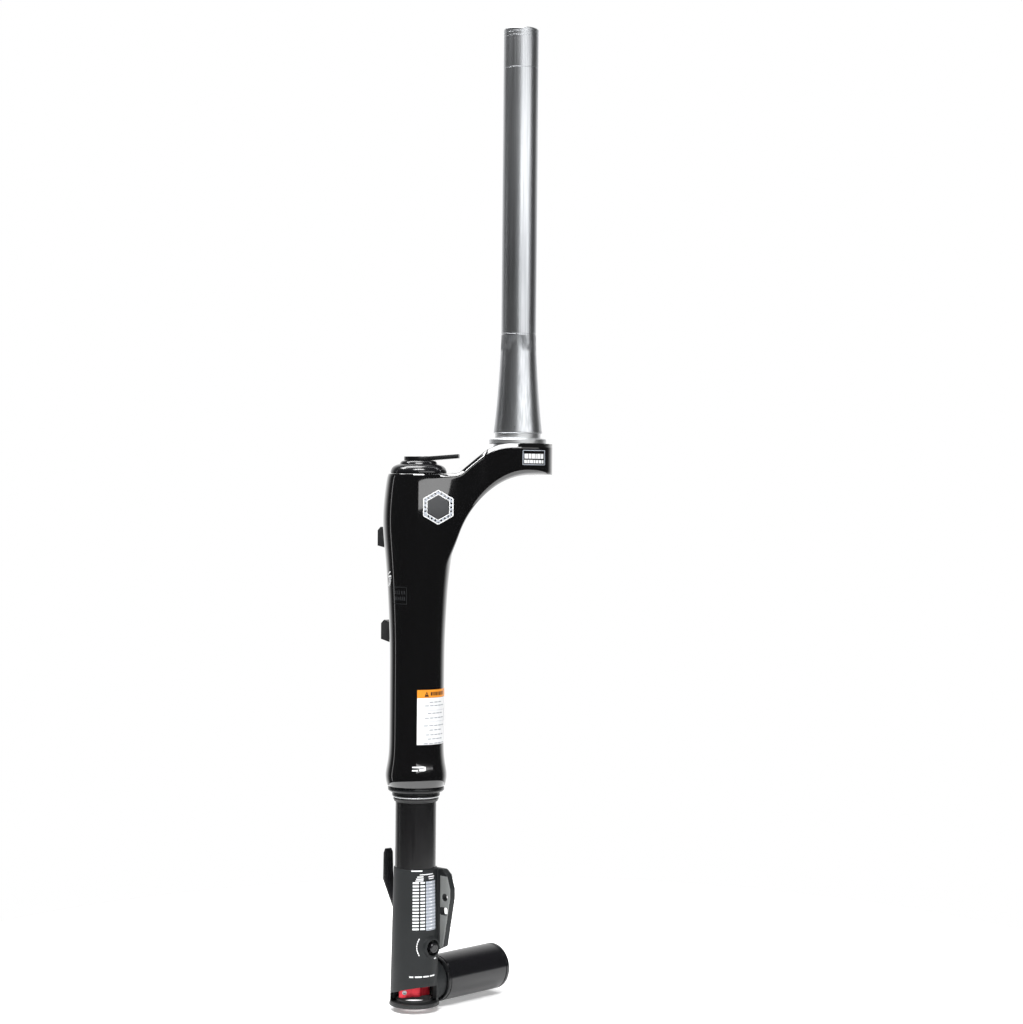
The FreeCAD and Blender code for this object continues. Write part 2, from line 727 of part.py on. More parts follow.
def guide_screw(top, height, reach):
    """Button-head screw through a guide into the tube's wall."""
    height_here = top - sizes.guide_screw_share * height
    seat = reach - sizes.hose_radius - sizes.guide_lip
    start = radii.guide_screw_start
    shank = cylinder(
        sizes.guide_screw_radius, leg_point(0, start, height_here), FORWARD, seat - start,
    )
    head = cylinder(
        sizes.guide_screw_head_radius - sizes.screw_head_gap, leg_point(0, seat, height_here),
        FORWARD, sizes.guide_screw_head_height,
    )
    return shank.fuse(head)


for label, guide in zip(("upper_hose_guide", "lower_hose_guide"), guides()):
    fixed(label, hose_guide(*guide))
fixed("hose_guide_screws", Part.makeCompound([guide_screw(*guide) for guide in guides()]))

# ---------------------------------------------------------------- seals under the tube

turned("collar_nut", [
    (loose_bore, nut_bottom),
    ("radii.nut_radius - 1.5", nut_bottom),
    ("radii.nut_radius", nut_bottom + " + 1.5"),
    ("radii.nut_radius", tube_bottom + " - 0.4"),
    (tube_fit, tube_bottom + " - 0.4"),
    (tube_fit, tube_bottom + " + sizes.nut_depth"),
    (loose_bore, tube_bottom + " + sizes.nut_depth"),
])
ring("race_retainer", loose_bore, tube_fit, tube_bottom + " + sizes.nut_depth", flat_bottom)
ring("seal_housing", loose_bore, "radii.housing_radius", housing_bottom, nut_bottom)
ring("garter_ring", "radii.wiper_radius", "radii.garter_radius",
     f"{housing_bottom} - sizes.garter_height", housing_bottom)
turned("wiper_seal", [
    (seal_bore, wiper_bottom),
    ("radii.wiper_radius - 0.6", wiper_bottom),
    ("radii.wiper_radius", wiper_bottom + " + 0.8"),
    ("radii.wiper_radius", housing_bottom),
    (seal_bore, housing_bottom),
])
ring("wiper_lip", seal_bore, "radii.wiper_lip_radius", lip_bottom, wiper_bottom)

# ---------------------------------------------------------------- needle bearings


def three_around(shape):
    """Three copies of a shape, a third of a turn apart about the leg."""
    copies = []
    for i in range(3):
        copy = shape.copy()
        copy.rotate(leg_point(), UP, 120 * i + 90)
        copies.append(copy)
    return copies


def race_strips(near, low, high):
    strip = strip_box(near, near + sizes.race_thickness, sizes.race_width, low, high)
    return Part.makeCompound(three_around(strip))


fixed("outer_race_strips", race_strips(levels.outer_race, levels.flat_bottom, levels.flat_top))
fixed("inner_race_strips", race_strips(radii.flat_distance, levels.flat_bottom, levels.flat_top))


def roller_heights():
    """Heights of the needles, evenly spaced in the cage."""
    count = int((sizes.cage_length - sizes.roller_pitch) // sizes.roller_pitch)
    first = levels.cage_bottom + (sizes.cage_length - (count - 1) * sizes.roller_pitch) / 2
    return [first + i * sizes.roller_pitch for i in range(count)]


def cages():
    half = sizes.cage_thickness / 2
    cage = strip_box(
        levels.roller_line - half, levels.roller_line + half, sizes.race_width - 0.4,
        levels.cage_bottom, levels.cage_top,
    )
    room = sizes.roller_radius + sizes.running_gap
    pockets = [
        strip_box(levels.roller_line - 2, levels.roller_line + 2, sizes.roller_length + 0.2,
                  height - room, height + room)
        for height in roller_heights()
    ]
    return Part.makeCompound(three_around(cage.cut(Part.makeCompound(pockets))))


def rollers():
    needles = []
    for height in roller_heights():
        start = leg_point(levels.roller_line, -sizes.roller_length / 2, height)
        needle = cylinder(sizes.roller_radius, start, FORWARD, sizes.roller_length)
        needles += three_around(needle)
    return Part.makeCompound(needles)


fixed("needle_cages", cages())
fixed("needle_rollers", rollers())

# ---------------------------------------------------------------- top cap and lockout

turned("top_cap", [
    (lockout_bore, cap_top),
    (lockout_bore, cartridge_top),
    ("sizes.cartridge_radius", cartridge_top),
    ("sizes.cartridge_radius", plug_bottom),
    (tube_fit, plug_bottom),
    (tube_fit, f"{tube_top} - sizes.cap_seal_depth - sizes.seal_section"),
    (f"{tube_fit} - sizes.seal_section", f"{tube_top} - sizes.cap_seal_depth - sizes.seal_section"),
    (f"{tube_fit} - sizes.seal_section", f"{tube_top} - sizes.cap_seal_depth"),
    (tube_fit, f"{tube_top} - sizes.cap_seal_depth"),
    (tube_fit, tube_top),
    ("radii.cap_radius - 0.4", tube_top),
    ("radii.cap_radius", f"{tube_top} + 1.2"),
    ("radii.cap_radius - 0.5", f"{tube_top} + 4.5"),
    ("radii.cap_radius - 2.4", f"{tube_top} + 7"),
    ("radii.cap_radius - 5.4", f"{cap_top} - 2.2"),
    ("sizes.cap_crown_radius", cap_top),
])
ring("top_cap_seal", f"{tube_fit} - sizes.seal_section", tube_fit,
     f"{tube_top} - sizes.cap_seal_depth - sizes.seal_section",
     f"{tube_top} - sizes.cap_seal_depth")


def lockout_lever():
    """Blade lever over the cap: a hub disc and a blade that rises as it leaves the cap."""
    base = levels.cap_top + sizes.lever_gap
    hub = cylinder(sizes.lever_hub_radius, leg_point(height=base), UP, sizes.lever_hub_height)
    half_tip = sizes.lever_tip_width / 2
    half_root = sizes.lever_hub_radius * sizes.lever_root_share
    start = sizes.lever_root / 2
    plan = slab([
        leg_point(start, -half_root, base),
        leg_point(sizes.lever_reach, -half_tip, base),
        leg_point(sizes.lever_reach, half_tip, base),
        leg_point(start, half_root, base),
    ], UP * THROUGH)
    thick = sizes.lever_thickness
    wide = sizes.lever_hub_radius
    side = slab([
        leg_point(0, -wide, base),
        leg_point(sizes.lever_root, -wide, base),
        leg_point(sizes.lever_reach, -wide, base + sizes.lever_rise - thick),
        leg_point(sizes.lever_reach, -wide, base + sizes.lever_rise),
        leg_point(sizes.lever_root - thick / 2, -wide, base + thick),
        leg_point(0, -wide, base + thick),
    ], FORWARD * (2 * wide))
    lever = hub.fuse(plan.common(side))
    lever = lever.cut(cylinder(sizes.lockout_shaft_radius, leg_point(height=base - 1), UP, THROUGH))
    sink = cylinder(
        sizes.lockout_shaft_radius + sizes.lever_sink_width,
        leg_point(height=base + sizes.lever_sink_depth), UP, THROUGH,
    )
    lever = lever.cut(sink)
    to_steerer = math.degrees(math.atan2(sizes.leg_rake, sizes.leg_offset))
    lever.rotate(leg_point(), UP, -to_steerer - sizes.lever_turn)
    return lever.removeSplitter()


fixed("lockout_lever", lockout_lever())
rod("lockout_shaft", "sizes.lockout_shaft_radius", f"{valve_top} - 5", f"{cap_top} + 1.2")
rod("lockout_screw", "sizes.lockout_shaft_radius + 2", f"{cap_top} + 1.7", f"{cap_top} + 3.4")

# ---------------------------------------------------------------- damper cartridge

ring("damper_tube", cartridge_bore, "sizes.cartridge_radius", cartridge_bottom, cartridge_top)
ring("floating_piston", lockout_bore, sealed_bore + " - 0.7", floating_bottom, floating_top)
ring("floating_piston_seal", sealed_bore + " - 0.7", sealed_bore,
     f"{floating_bottom} + 3", f"{floating_top} - 3")
ring("compression_valve", lockout_bore, cartridge_bore, valve_bottom, valve_top)
ring("damper_seal_head", shaft_bore, cartridge_bore, cartridge_bottom, seal_head_top)
ring("bottom_out_bumper", cartridge_clear, "radii.bumper_radius", bumper_bottom, plug_bottom)

# ---------------------------------------------------------------- air spring

turned("air_piston", [
    (shaft_bore, air_piston_bottom),
    (air_bore + " - 0.3", air_piston_bottom),
    (air_bore + " - 0.3", glide_top + " - sizes.glide_ring_height"),
    (air_bore + " - sizes.glide_ring_thickness", glide_top + " - sizes.glide_ring_height"),
    (air_bore + " - sizes.glide_ring_thickness", glide_top),
    (air_bore + " - 0.3", glide_top),
    (air_bore + " - 0.3", air_seal_top + " - sizes.air_seal_height"),
    (air_bore + " - 2", air_seal_top + " - sizes.air_seal_height"),
    (air_bore + " - 2", air_seal_top),
    (air_bore + " - 0.3", air_seal_top),
    (air_bore + " - 0.3", air_piston_top),
    ("sizes.cartridge_radius", air_piston_top),
    ("sizes.cartridge_radius", cartridge_bottom),
    (shaft_bore, cartridge_bottom),
])
ring("air_piston_seal", air_bore + " - 2", air_bore,
     air_seal_top + " - sizes.air_seal_height", air_seal_top)
ring("air_piston_glide_ring", air_bore + " - sizes.glide_ring_thickness", air_bore,
     glide_top + " - sizes.glide_ring_height", glide_top)
ring("top_out_bumper", cartridge_clear, "radii.bumper_radius", air_piston_top, top_out_top)
ring("negative_air_head", cartridge_clear, "radii.stanchion_bore_radius",
     air_head_bottom, air_head_top)
ring("air_head_snap_ring", "radii.stanchion_bore_radius - 1.4",
     "radii.stanchion_bore_radius + sizes.snap_ring_depth", air_head_top,
     f"{air_head_top} + sizes.snap_ring_height")

# ---------------------------------------------------------------- inner tube


def inner_tube():
    """Sliding tube with three flats for the races and a groove for the snap ring."""
    tube = cylinder(
        sizes.stanchion_radius, leg_point(height=levels.socket_floor), UP,
        levels.inner_top - levels.socket_floor,
    )
    bore = cylinder(
        radii.stanchion_bore_radius, leg_point(height=levels.socket_floor - 1), UP,
        levels.inner_top - levels.socket_floor + 2,
    )
    groove = cylinder(
        radii.stanchion_bore_radius + sizes.snap_ring_depth,
        leg_point(height=levels.air_head_top), UP, sizes.snap_ring_height,
    )
    flat = strip_box(
        radii.flat_distance, sizes.stanchion_radius + 5, 3 * sizes.race_width,
        levels.flat_bottom, levels.inner_top + 1,
    )
    for tool in [bore, groove] + three_around(flat):
        tube = tube.cut(tool)
    return tube


fixed("inner_tube", inner_tube())

# ---------------------------------------------------------------- damper shaft and piston

turned("damper_shaft", [
    (rod_bore, cavity_top + " + 0.5"),
    ("sizes.shaft_neck_radius", cavity_top + " + 0.5"),
    ("sizes.shaft_neck_radius", nut_seat),
    ("sizes.shaft_radius", nut_seat),
    ("sizes.shaft_radius", piston_bottom),
    ("sizes.shaft_neck_radius", piston_bottom),
    ("sizes.shaft_neck_radius", piston_nut_top),
    (rod_bore, piston_nut_top),
])
turned("damper_piston", [
    ("sizes.shaft_neck_radius", piston_bottom),
    (sealed_bore, piston_bottom),
    (sealed_bore, piston_bottom + " + 3"),
    (sealed_bore + " - 0.8", piston_bottom + " + 3"),
    (sealed_bore + " - 0.8", piston_bottom + " + 7"),
    (sealed_bore, piston_bottom + " + 7"),
    (sealed_bore, piston_top),
    ("sizes.shaft_neck_radius", piston_top),
])
ring("damper_piston_ring", sealed_bore + " - 0.8", sealed_bore,
     piston_bottom + " + 3", piston_bottom + " + 7")
ring("damper_shims", "sizes.shaft_neck_radius", "sizes.piston_nut_radius + 1.2",
     piston_top, shim_top)


def hexagon_nut(name, radius, bore, low, high):
    """Six-sided nut on the leg's axis."""
    body = doc.addObject("PartDesign::Body", name)
    body.Label = name
    corners = []
    for i in range(6):
        turn = math.radians(60 * i)
        corners.append((f"{radius} * {math.cos(turn):.6f}", f"{radius} * {math.sin(turn):.6f}"))
    sketch = outline_sketch(body, f"{name}_outline", "XY_Plane", corners)
    pad = body.newObject("PartDesign::Pad", f"{name}_pad")
    pad.Profile = sketch
    pad.setExpression("Length", f"({high}) - ({low})")
    doc.recompute()
    hole_sketch = body.newObject("Sketcher::SketchObject", f"{name}_bore")
    hole_sketch.AttachmentSupport = [(origin_plane(body, "XY_Plane"), "")]
    hole_sketch.MapMode = "FlatFace"
    hole_sketch.addGeometry(Part.Circle(Vector(), UP, 2.0), False)
    hole_sketch.addConstraint(Sketcher.Constraint("Coincident", 0, 3, -1, 1))
    index = hole_sketch.addConstraint(Sketcher.Constraint("Radius", 0, 2.0))
    hole_sketch.setExpression(f"Constraints[{index}]", bore)
    pocket = body.newObject("PartDesign::Pocket", f"{name}_pocket")
    pocket.Profile = hole_sketch
    pocket.Type = "ThroughAll"
    pocket.Reversed = True
    body.Tip = pocket
    place(body, (LEG[0], LEG[1], low))
    parts.append(body)
    return body


hexagon_nut("damper_piston_nut", "sizes.piston_nut_radius", "sizes.shaft_neck_radius",
            shim_top, piston_nut_top)
hexagon_nut("shaft_nut", "sizes.shaft_nut_radius", "sizes.shaft_neck_radius",
            f"{nut_seat} - sizes.shaft_nut_height", nut_seat)

# ---------------------------------------------------------------- foot casting


def fin_outline():
    """Side outline of the brake mount fin, from the leg's axis backwards."""
    top = levels.foot_top - sizes.fin_top_drop
    bottom = top - sizes.fin_height
    full = levels.foot_top - sizes.fin_full_drop
    return [
        (-4, top), (-sizes.fin_top_reach + 5, top), (-sizes.fin_top_reach, top - 4),
        (-sizes.fin_full_reach, full), (-sizes.fin_full_reach, full - 8),
        (-sizes.fin_foot_reach, bottom), (-4, bottom - 8),
    ]


def foot_casting():
    """Casting that holds the inner tube, the spindle, the brake mount and the valve."""
    top = levels.foot_top
    bottom = levels.foot_bottom
    body = Part.makeCone(
        radii.foot_bottom_radius, radii.foot_top_radius, top - bottom,
        leg_point(height=bottom), UP,
    )
    fin = slab([leg_point(sizes.fin_offset, y, z) for y, z in fin_outline()],
               Vector(sizes.fin_thickness, 0, 0))
    boss = cylinder(
        sizes.valve_boss_radius, leg_point(height=levels.valve_height), -FORWARD,
        radii.valve_boss_reach,
    )
    spindle_boss = cylinder(
        sizes.spindle_boss_radius, leg_point(height=levels.axle_height), RIGHT,
        radii.spindle_boss,
    )
    body = body.fuse(fin).fuse(boss).fuse(spindle_boss)
    wide = 2 * radii.foot_bottom_radius
    below = block(leg_point(-wide, -wide, bottom - wide), leg_point(wide, wide, bottom))
    socket = cylinder(
        sizes.stanchion_radius, leg_point(height=levels.socket_floor), UP, THROUGH,
    )
    shaft_hole = cylinder(
        sizes.shaft_radius, leg_point(height=levels.nut_seat), UP, THROUGH,
    )
    nut_room = cylinder(
        sizes.shaft_nut_radius + 0.8, leg_point(height=levels.cavity_top - 1), UP,
        levels.nut_seat - levels.cavity_top + 1,
    )
    cavity = cylinder(
        radii.cavity_radius, leg_point(height=bottom - 1), UP, levels.cavity_top - bottom + 1,
    )
    spindle_socket = cylinder(
        sizes.spindle_shank_radius, leg_point(radii.spindle_root, 0, levels.axle_height),
        RIGHT, THROUGH,
    )
    dish = cylinder(
        sizes.valve_dish_radius,
        leg_point(0, -radii.valve_boss_reach + sizes.valve_dish_depth, levels.valve_height),
        -FORWARD, THROUGH,
    )
    valve_root = radii.valve_boss_reach - sizes.valve_dish_depth - sizes.valve_hole_depth
    valve_hole = cylinder(
        sizes.valve_body_radius, leg_point(0, -valve_root, levels.valve_height), -FORWARD, THROUGH,
    )
    brake_hole = cylinder(
        sizes.brake_hole_radius,
        leg_point(0, -sizes.brake_hole_reach, levels.foot_top - sizes.brake_hole_drop),
        RIGHT, THROUGH,
    )
    slot_centre = leg_point(
        sizes.fin_offset - 1, -sizes.brake_slot_reach - 2, levels.foot_top - sizes.brake_slot_drop,
    )
    half_slot = Vector(0, sizes.brake_slot_width / 2, sizes.brake_slot_height / 2)
    slot = block(slot_centre - half_slot, slot_centre + half_slot + RIGHT * THROUGH)
    tools = [below, socket, shaft_hole, nut_room, cavity, spindle_socket, dish, valve_hole]
    tools += [brake_hole, slot, horn_screw_hole(), knob_window()]
    for tool in tools:
        body = body.cut(tool)
    return body.removeSplitter()


def horn_screw_height():
    return levels.foot_top - sizes.horn_bend_drop - sizes.horn_screw_drop


def horn_screw_hole():
    """Hole through the horn into the casting's wall, up to the inner tube."""
    start = leg_point(0, radii.foot_top_radius - sizes.horn_screw_reach, horn_screw_height())
    return cylinder(sizes.guide_screw_radius, start, FORWARD, 2.5 * sizes.horn_screw_reach)


def knob_window():
    """Opening in the rear left of the foot for turning the rebound knob."""
    top = levels.axle_height + sizes.window_top
    low = levels.foot_bottom - 1
    half = sizes.window_width / 2
    left = Vector(0, -half, top - sizes.window_left_drop)
    right = Vector(0, half, top - sizes.window_right_drop)
    middle = Vector(0, 0, top - sizes.window_middle_drop)
    outline = Part.Wire([
        Part.makeLine(Vector(0, -half, low), Vector(0, half, low)),
        Part.makeLine(Vector(0, half, low), right),
        Part.Arc(right, middle, left).toShape(),
        Part.makeLine(left, Vector(0, -half, low)),
    ])
    window = Part.Face(outline).extrude(RIGHT * THROUGH)
    window.rotate(Vector(), UP, sizes.window_bearing)
    window.translate(leg_point())
    return window


fixed("foot_casting", foot_casting())


def bottom_guard():
    """Plastic ring clipped round the open bottom of the foot."""
    low = levels.guard_bottom
    skirt = Part.makeCone(
        radii.guard_radius, radii.foot_bottom_radius, sizes.guard_height,
        leg_point(height=low), UP,
    )
    plug = cylinder(
        radii.cavity_radius - sizes.running_gap, leg_point(height=low), UP,
        sizes.guard_height + sizes.guard_plug_height,
    )
    hollow = cylinder(
        radii.cavity_radius - sizes.guard_wall, leg_point(height=low - 1), UP, THROUGH,
    )
    return skirt.fuse(plug).cut(hollow).removeSplitter()


fixed("bottom_guard", bottom_guard())

# ---------------------------------------------------------------- hose horn


def hose_horn():
    """Curled guide on the front of the foot that the hose runs up behind."""
    top = levels.foot_top + sizes.horn_rise
    straight = levels.foot_top - sizes.horn_straight
    bend = levels.foot_top - sizes.horn_bend_drop
    low = levels.foot_top - sizes.horn_foot_drop
    near = radii.foot_top_radius + 0.2
    side = -sizes.horn_width / 2
    inner = radii.horn_inner_reach
    outer = radii.horn_outer_reach
    plate = slab([
        leg_point(side, near, low),
        leg_point(side, outer, straight),
        leg_point(side, outer, top - sizes.horn_top_slope),
        leg_point(side, outer - sizes.horn_top_inset, top),
        leg_point(side, inner + sizes.horn_top_inset, top),
        leg_point(side, inner, top - sizes.horn_top_inset),
        leg_point(side, inner, straight),
        leg_point(side, near, bend),
    ], RIGHT * sizes.horn_width)
    skin = Part.makeCone(
        radii.foot_bottom_radius, radii.foot_top_radius,
        levels.foot_top - levels.foot_bottom, leg_point(height=levels.foot_bottom), UP,
    )
    seat = leg_point(0, radii.foot_top_radius + sizes.horn_screw_sink, horn_screw_height())
    sink = cylinder(sizes.guide_screw_head_radius, seat, FORWARD, THROUGH)
    return plate.cut(skin).cut(horn_screw_hole()).cut(sink)


def horn_screw():
    """Screw that holds the horn to the casting, with its head sunk in the horn."""
    root = sizes.stanchion_radius + sizes.running_gap
    seat = radii.foot_top_radius + sizes.horn_screw_sink
    shank = cylinder(
        sizes.guide_screw_radius, leg_point(0, root, horn_screw_height()), FORWARD, seat - root,
    )
    head = cylinder(
        sizes.guide_screw_head_radius - sizes.screw_head_gap,
        leg_point(0, seat, horn_screw_height()), FORWARD, sizes.horn_screw_head_height,
    )
    return shank.fuse(head)


fixed("hose_horn", hose_horn())
fixed("hose_horn_screw", horn_screw())

# ---------------------------------------------------------------- air valve

dish_floor = "(radii.valve_boss_reach - sizes.valve_dish_depth)"
turned("air_valve_body", [
    ("sizes.valve_pin_radius + 0.05", dish_floor + " - 5"),
    ("sizes.valve_body_radius", dish_floor + " - 5"),
    ("sizes.valve_body_radius", dish_floor + " + sizes.valve_body_length - 2"),
    ("sizes.valve_pin_radius + 0.05", dish_floor + " + sizes.valve_body_length - 2"),
], VALVE, BACKWARD)
rod("valve_pin", "sizes.valve_pin_radius", dish_floor + " - 3",
    dish_floor + " + sizes.valve_body_length - 1.5", VALVE, BACKWARD)
turned("valve_cap", [
    ("0", f"{dish_floor} + sizes.valve_cap_length"),
    ("0", f"{dish_floor} + sizes.valve_cap_length - 1.0"),
    ("sizes.valve_body_radius + 0.05", f"{dish_floor} + sizes.valve_cap_length - 1.0"),
    ("sizes.valve_body_radius + 0.05", dish_floor + " + 0.3"),
    ("sizes.valve_cap_radius", dish_floor + " + 0.3"),
    ("sizes.valve_cap_radius", f"{dish_floor} + sizes.valve_cap_length - 0.8"),
    ("sizes.valve_cap_radius - 0.8", f"{dish_floor} + sizes.valve_cap_length"),
], VALVE, BACKWARD)

# ---------------------------------------------------------------- spindle and its cover

root_ring_end = "(radii.spindle_boss + sizes.root_ring_width)"
inner_seat_end = "(radii.inner_seat_start + sizes.inner_seat_length)"
outer_seat_end = "(radii.outer_seat_start + sizes.outer_seat_length)"
turned("spindle", [
    ("0", "radii.spindle_root"),
    ("sizes.spindle_shank_radius", "radii.spindle_root"),
    ("sizes.spindle_shank_radius", root_ring_end),
    ("sizes.inner_seat_radius + 1.5", root_ring_end),
    ("sizes.inner_seat_radius + 1.5", "radii.inner_seat_start"),
    ("sizes.inner_seat_radius", "radii.inner_seat_start"),
    ("sizes.inner_seat_radius", inner_seat_end),
    ("sizes.spindle_waist_radius", inner_seat_end),
    ("sizes.spindle_waist_radius", "radii.outer_seat_start"),
    ("sizes.outer_seat_radius", "radii.outer_seat_start"),
    ("sizes.outer_seat_radius", outer_seat_end),
    ("sizes.spindle_bore_radius", outer_seat_end),
    ("sizes.spindle_bore_radius", f"{outer_seat_end} - sizes.spindle_bore_depth"),
    ("0", f"{outer_seat_end} - sizes.spindle_bore_depth"),
], SPINDLE, ALONG_X)
turned("spindle_root_ring", [
    ("sizes.spindle_shank_radius", "radii.spindle_boss"),
    ("sizes.root_ring_radius", "radii.spindle_boss"),
    ("sizes.root_ring_radius", root_ring_end),
    ("sizes.spindle_shank_radius", root_ring_end),
], SPINDLE, ALONG_X)
cover_start = f"({root_ring_end} + 0.1)"
cover_end = f"({cover_start} + sizes.cover_length)"
ring("cover_tube", "sizes.cover_radius - sizes.cover_wall", "sizes.cover_radius",
     cover_start, f"{cover_end} - sizes.cover_end_length", SPINDLE, ALONG_X)
turned("cover_end_cap", [
    ("0", f"{cover_end} - 2"),
    ("sizes.cover_radius - sizes.cover_wall", f"{cover_end} - 2"),
    ("sizes.cover_radius - sizes.cover_wall", f"{cover_end} - sizes.cover_end_length"),
    ("sizes.cover_radius - 0.5", f"{cover_end} - sizes.cover_end_length"),
    ("sizes.cover_radius - 0.5", f"{cover_end} - sizes.cover_end_length + 0.8"),
    ("sizes.cover_radius", f"{cover_end} - sizes.cover_end_length + 0.8"),
    ("sizes.cover_radius", f"{cover_end} - 0.8"),
    ("sizes.cover_radius - 0.8", cover_end),
    ("0", cover_end),
], SPINDLE, ALONG_X)

# ---------------------------------------------------------------- rebound adjuster


def knob_direction(turn=0.0):
    bearing = math.radians(sizes.knob_bearing + turn)
    return Vector(math.cos(bearing), math.sin(bearing), 0)


def knob_parts():
    """Two-armed knob under the shaft, and the set screw in its end."""
    height = levels.axle_height - sizes.knob_drop
    low = leg_point(height=height - sizes.knob_height / 2)
    hub = cylinder(sizes.knob_hub_radius, low, UP, sizes.knob_height)
    ends = [knob_direction() * radii.knob_arm, knob_direction() * -radii.knob_arm]
    side = knob_direction(90) * sizes.knob_arm_radius
    bar = slab([low + ends[0] + side, low + ends[1] + side, low + ends[1] - side,
                low + ends[0] - side], UP * sizes.knob_height)
    knob = hub.fuse(bar)
    for end in ends:
        knob = knob.fuse(cylinder(sizes.knob_arm_radius, low + end, UP, sizes.knob_height))
    outward = knob_direction(sizes.knob_screw_turn)
    mouth = leg_point(height=height) + ends[0] + outward * sizes.knob_arm_radius
    hole_length = sizes.knob_screw_inset + sizes.knob_screw_length + sizes.knob_screw_end_gap
    hole = cylinder(sizes.knob_screw_radius, mouth + outward, -outward, hole_length + 1)
    rod_hole = cylinder(
        sizes.rod_radius + sizes.running_gap, leg_point(height=height - 1), UP, THROUGH,
    )
    knob = knob.removeSplitter().cut(hole).cut(rod_hole)
    start = mouth - outward * sizes.knob_screw_inset
    screw = cylinder(sizes.knob_screw_radius, start, -outward, sizes.knob_screw_length)
    socket = cylinder(
        sizes.knob_screw_radius * sizes.knob_screw_socket_share, start + outward, -outward,
        1 + sizes.knob_screw_socket_depth,
    )
    return knob, screw.cut(socket)


knob_shape, screw_shape = knob_parts()
fixed("rebound_knob", knob_shape)
fixed("knob_set_screw", screw_shape)
rod("rebound_rod", "sizes.rod_radius", f"{axle_height} - sizes.knob_drop", rod_top)
turned("rebound_needle", [
    ("0", f"{rod_top} + sizes.needle_gap"),
    ("sizes.needle_radius", f"{rod_top} + sizes.needle_gap"),
    ("sizes.needle_radius", f"{piston_nut_top} - 1 - sizes.needle_point"),
    ("sizes.needle_radius / 4", f"{piston_nut_top} - 1"),
    ("0", f"{piston_nut_top} - 1"),
])

# ---------------------------------------------------------------- check and write

doc.recompute()
for item in doc.Objects:
    broken = [state for state in item.State if state in ("Invalid", "Error")]
    if broken:
        raise RuntimeError(f"{item.Label} is {broken}")
for part in parts:
    if part.Shape.isNull() or not part.Shape.isValid():
        raise RuntimeError(f"{part.Label} has no valid solid")

os.makedirs("parts", exist_ok=True)
for part in parts:
    part.Shape.exportStep(os.path.join("parts", f"{part.Label}.step"))
print(len(parts), "pieces written")
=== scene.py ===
import json
import math

import bmesh
import bpy
from mathutils import Matrix, Vector
from mathutils.bvhtree import BVHTree


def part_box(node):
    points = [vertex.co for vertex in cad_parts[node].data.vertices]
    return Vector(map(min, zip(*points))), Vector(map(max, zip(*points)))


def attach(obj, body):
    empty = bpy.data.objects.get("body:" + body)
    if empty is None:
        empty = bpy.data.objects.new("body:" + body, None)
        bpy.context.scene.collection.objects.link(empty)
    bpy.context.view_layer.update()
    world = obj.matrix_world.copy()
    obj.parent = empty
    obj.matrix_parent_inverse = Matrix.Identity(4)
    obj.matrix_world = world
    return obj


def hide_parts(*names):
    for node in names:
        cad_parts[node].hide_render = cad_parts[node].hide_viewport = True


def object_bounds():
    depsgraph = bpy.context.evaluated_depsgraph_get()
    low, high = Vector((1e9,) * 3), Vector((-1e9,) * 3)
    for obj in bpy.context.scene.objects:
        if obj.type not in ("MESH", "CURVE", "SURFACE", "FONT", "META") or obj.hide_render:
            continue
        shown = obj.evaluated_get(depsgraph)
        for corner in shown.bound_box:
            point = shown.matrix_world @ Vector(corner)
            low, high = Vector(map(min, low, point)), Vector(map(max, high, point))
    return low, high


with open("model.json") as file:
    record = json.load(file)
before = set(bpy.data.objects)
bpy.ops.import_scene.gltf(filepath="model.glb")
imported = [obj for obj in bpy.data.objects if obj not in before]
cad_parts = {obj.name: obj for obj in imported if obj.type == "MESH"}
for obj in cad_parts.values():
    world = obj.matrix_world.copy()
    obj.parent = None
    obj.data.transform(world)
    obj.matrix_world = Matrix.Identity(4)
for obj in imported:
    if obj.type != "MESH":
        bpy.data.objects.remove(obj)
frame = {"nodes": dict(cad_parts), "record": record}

cad_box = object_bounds()


# ---------------------------------------------------------------- steerer tube
# Drawn aluminium tube, butted and swaged to a wide tapered base, then turned where the crown, the
# race and the stem sit.  Left bare: the draw lines run along it, with fine turning rings at both
# ends of the straight part and a dull grey band where the taper begins.

MM = 0.001
FULL_TURN = 2 * math.pi


def linear(code):
    """Linear colour of an sRGB hex value."""
    channels = []
    for i in (0, 2, 4):
        level = int(code[i:i + 2], 16) / 255
        channels.append(level / 12.92 if level <= 0.04045 else ((level + 0.055) / 1.055) ** 2.4)
    return (*channels, 1.0)


def add(tree, kind, inputs=(), **settings):
    """Adds a node with its settings; an input is a number, a colour, a node or one of its outputs."""
    made = tree.nodes.new(kind)
    for name, value in settings.items():
        setattr(made, name, value)
    for name, value in dict(inputs).items():
        if isinstance(value, bpy.types.Node):
            tree.links.new(value.outputs[0], made.inputs[name])
        elif isinstance(value, bpy.types.NodeSocket):
            tree.links.new(value, made.inputs[name])
        else:
            made.inputs[name].default_value = value
    return made


def finish_material(name, dress, **sockets):
    """A material whose constants sit on the shader and whose patterns come from dress."""
    material = bpy.data.materials.new(name)
    material.use_nodes = True
    tree = material.node_tree
    tree.nodes.clear()
    place = add(tree, "ShaderNodeTexCoord").outputs["Object"]
    linked = dress(tree, place)
    shader = add(tree, "ShaderNodeBsdfPrincipled", linked)
    for socket, value in sockets.items():
        shader.inputs[socket.replace("_", " ")].default_value = value
    add(tree, "ShaderNodeOutputMaterial", {"Surface": shader})
    return material


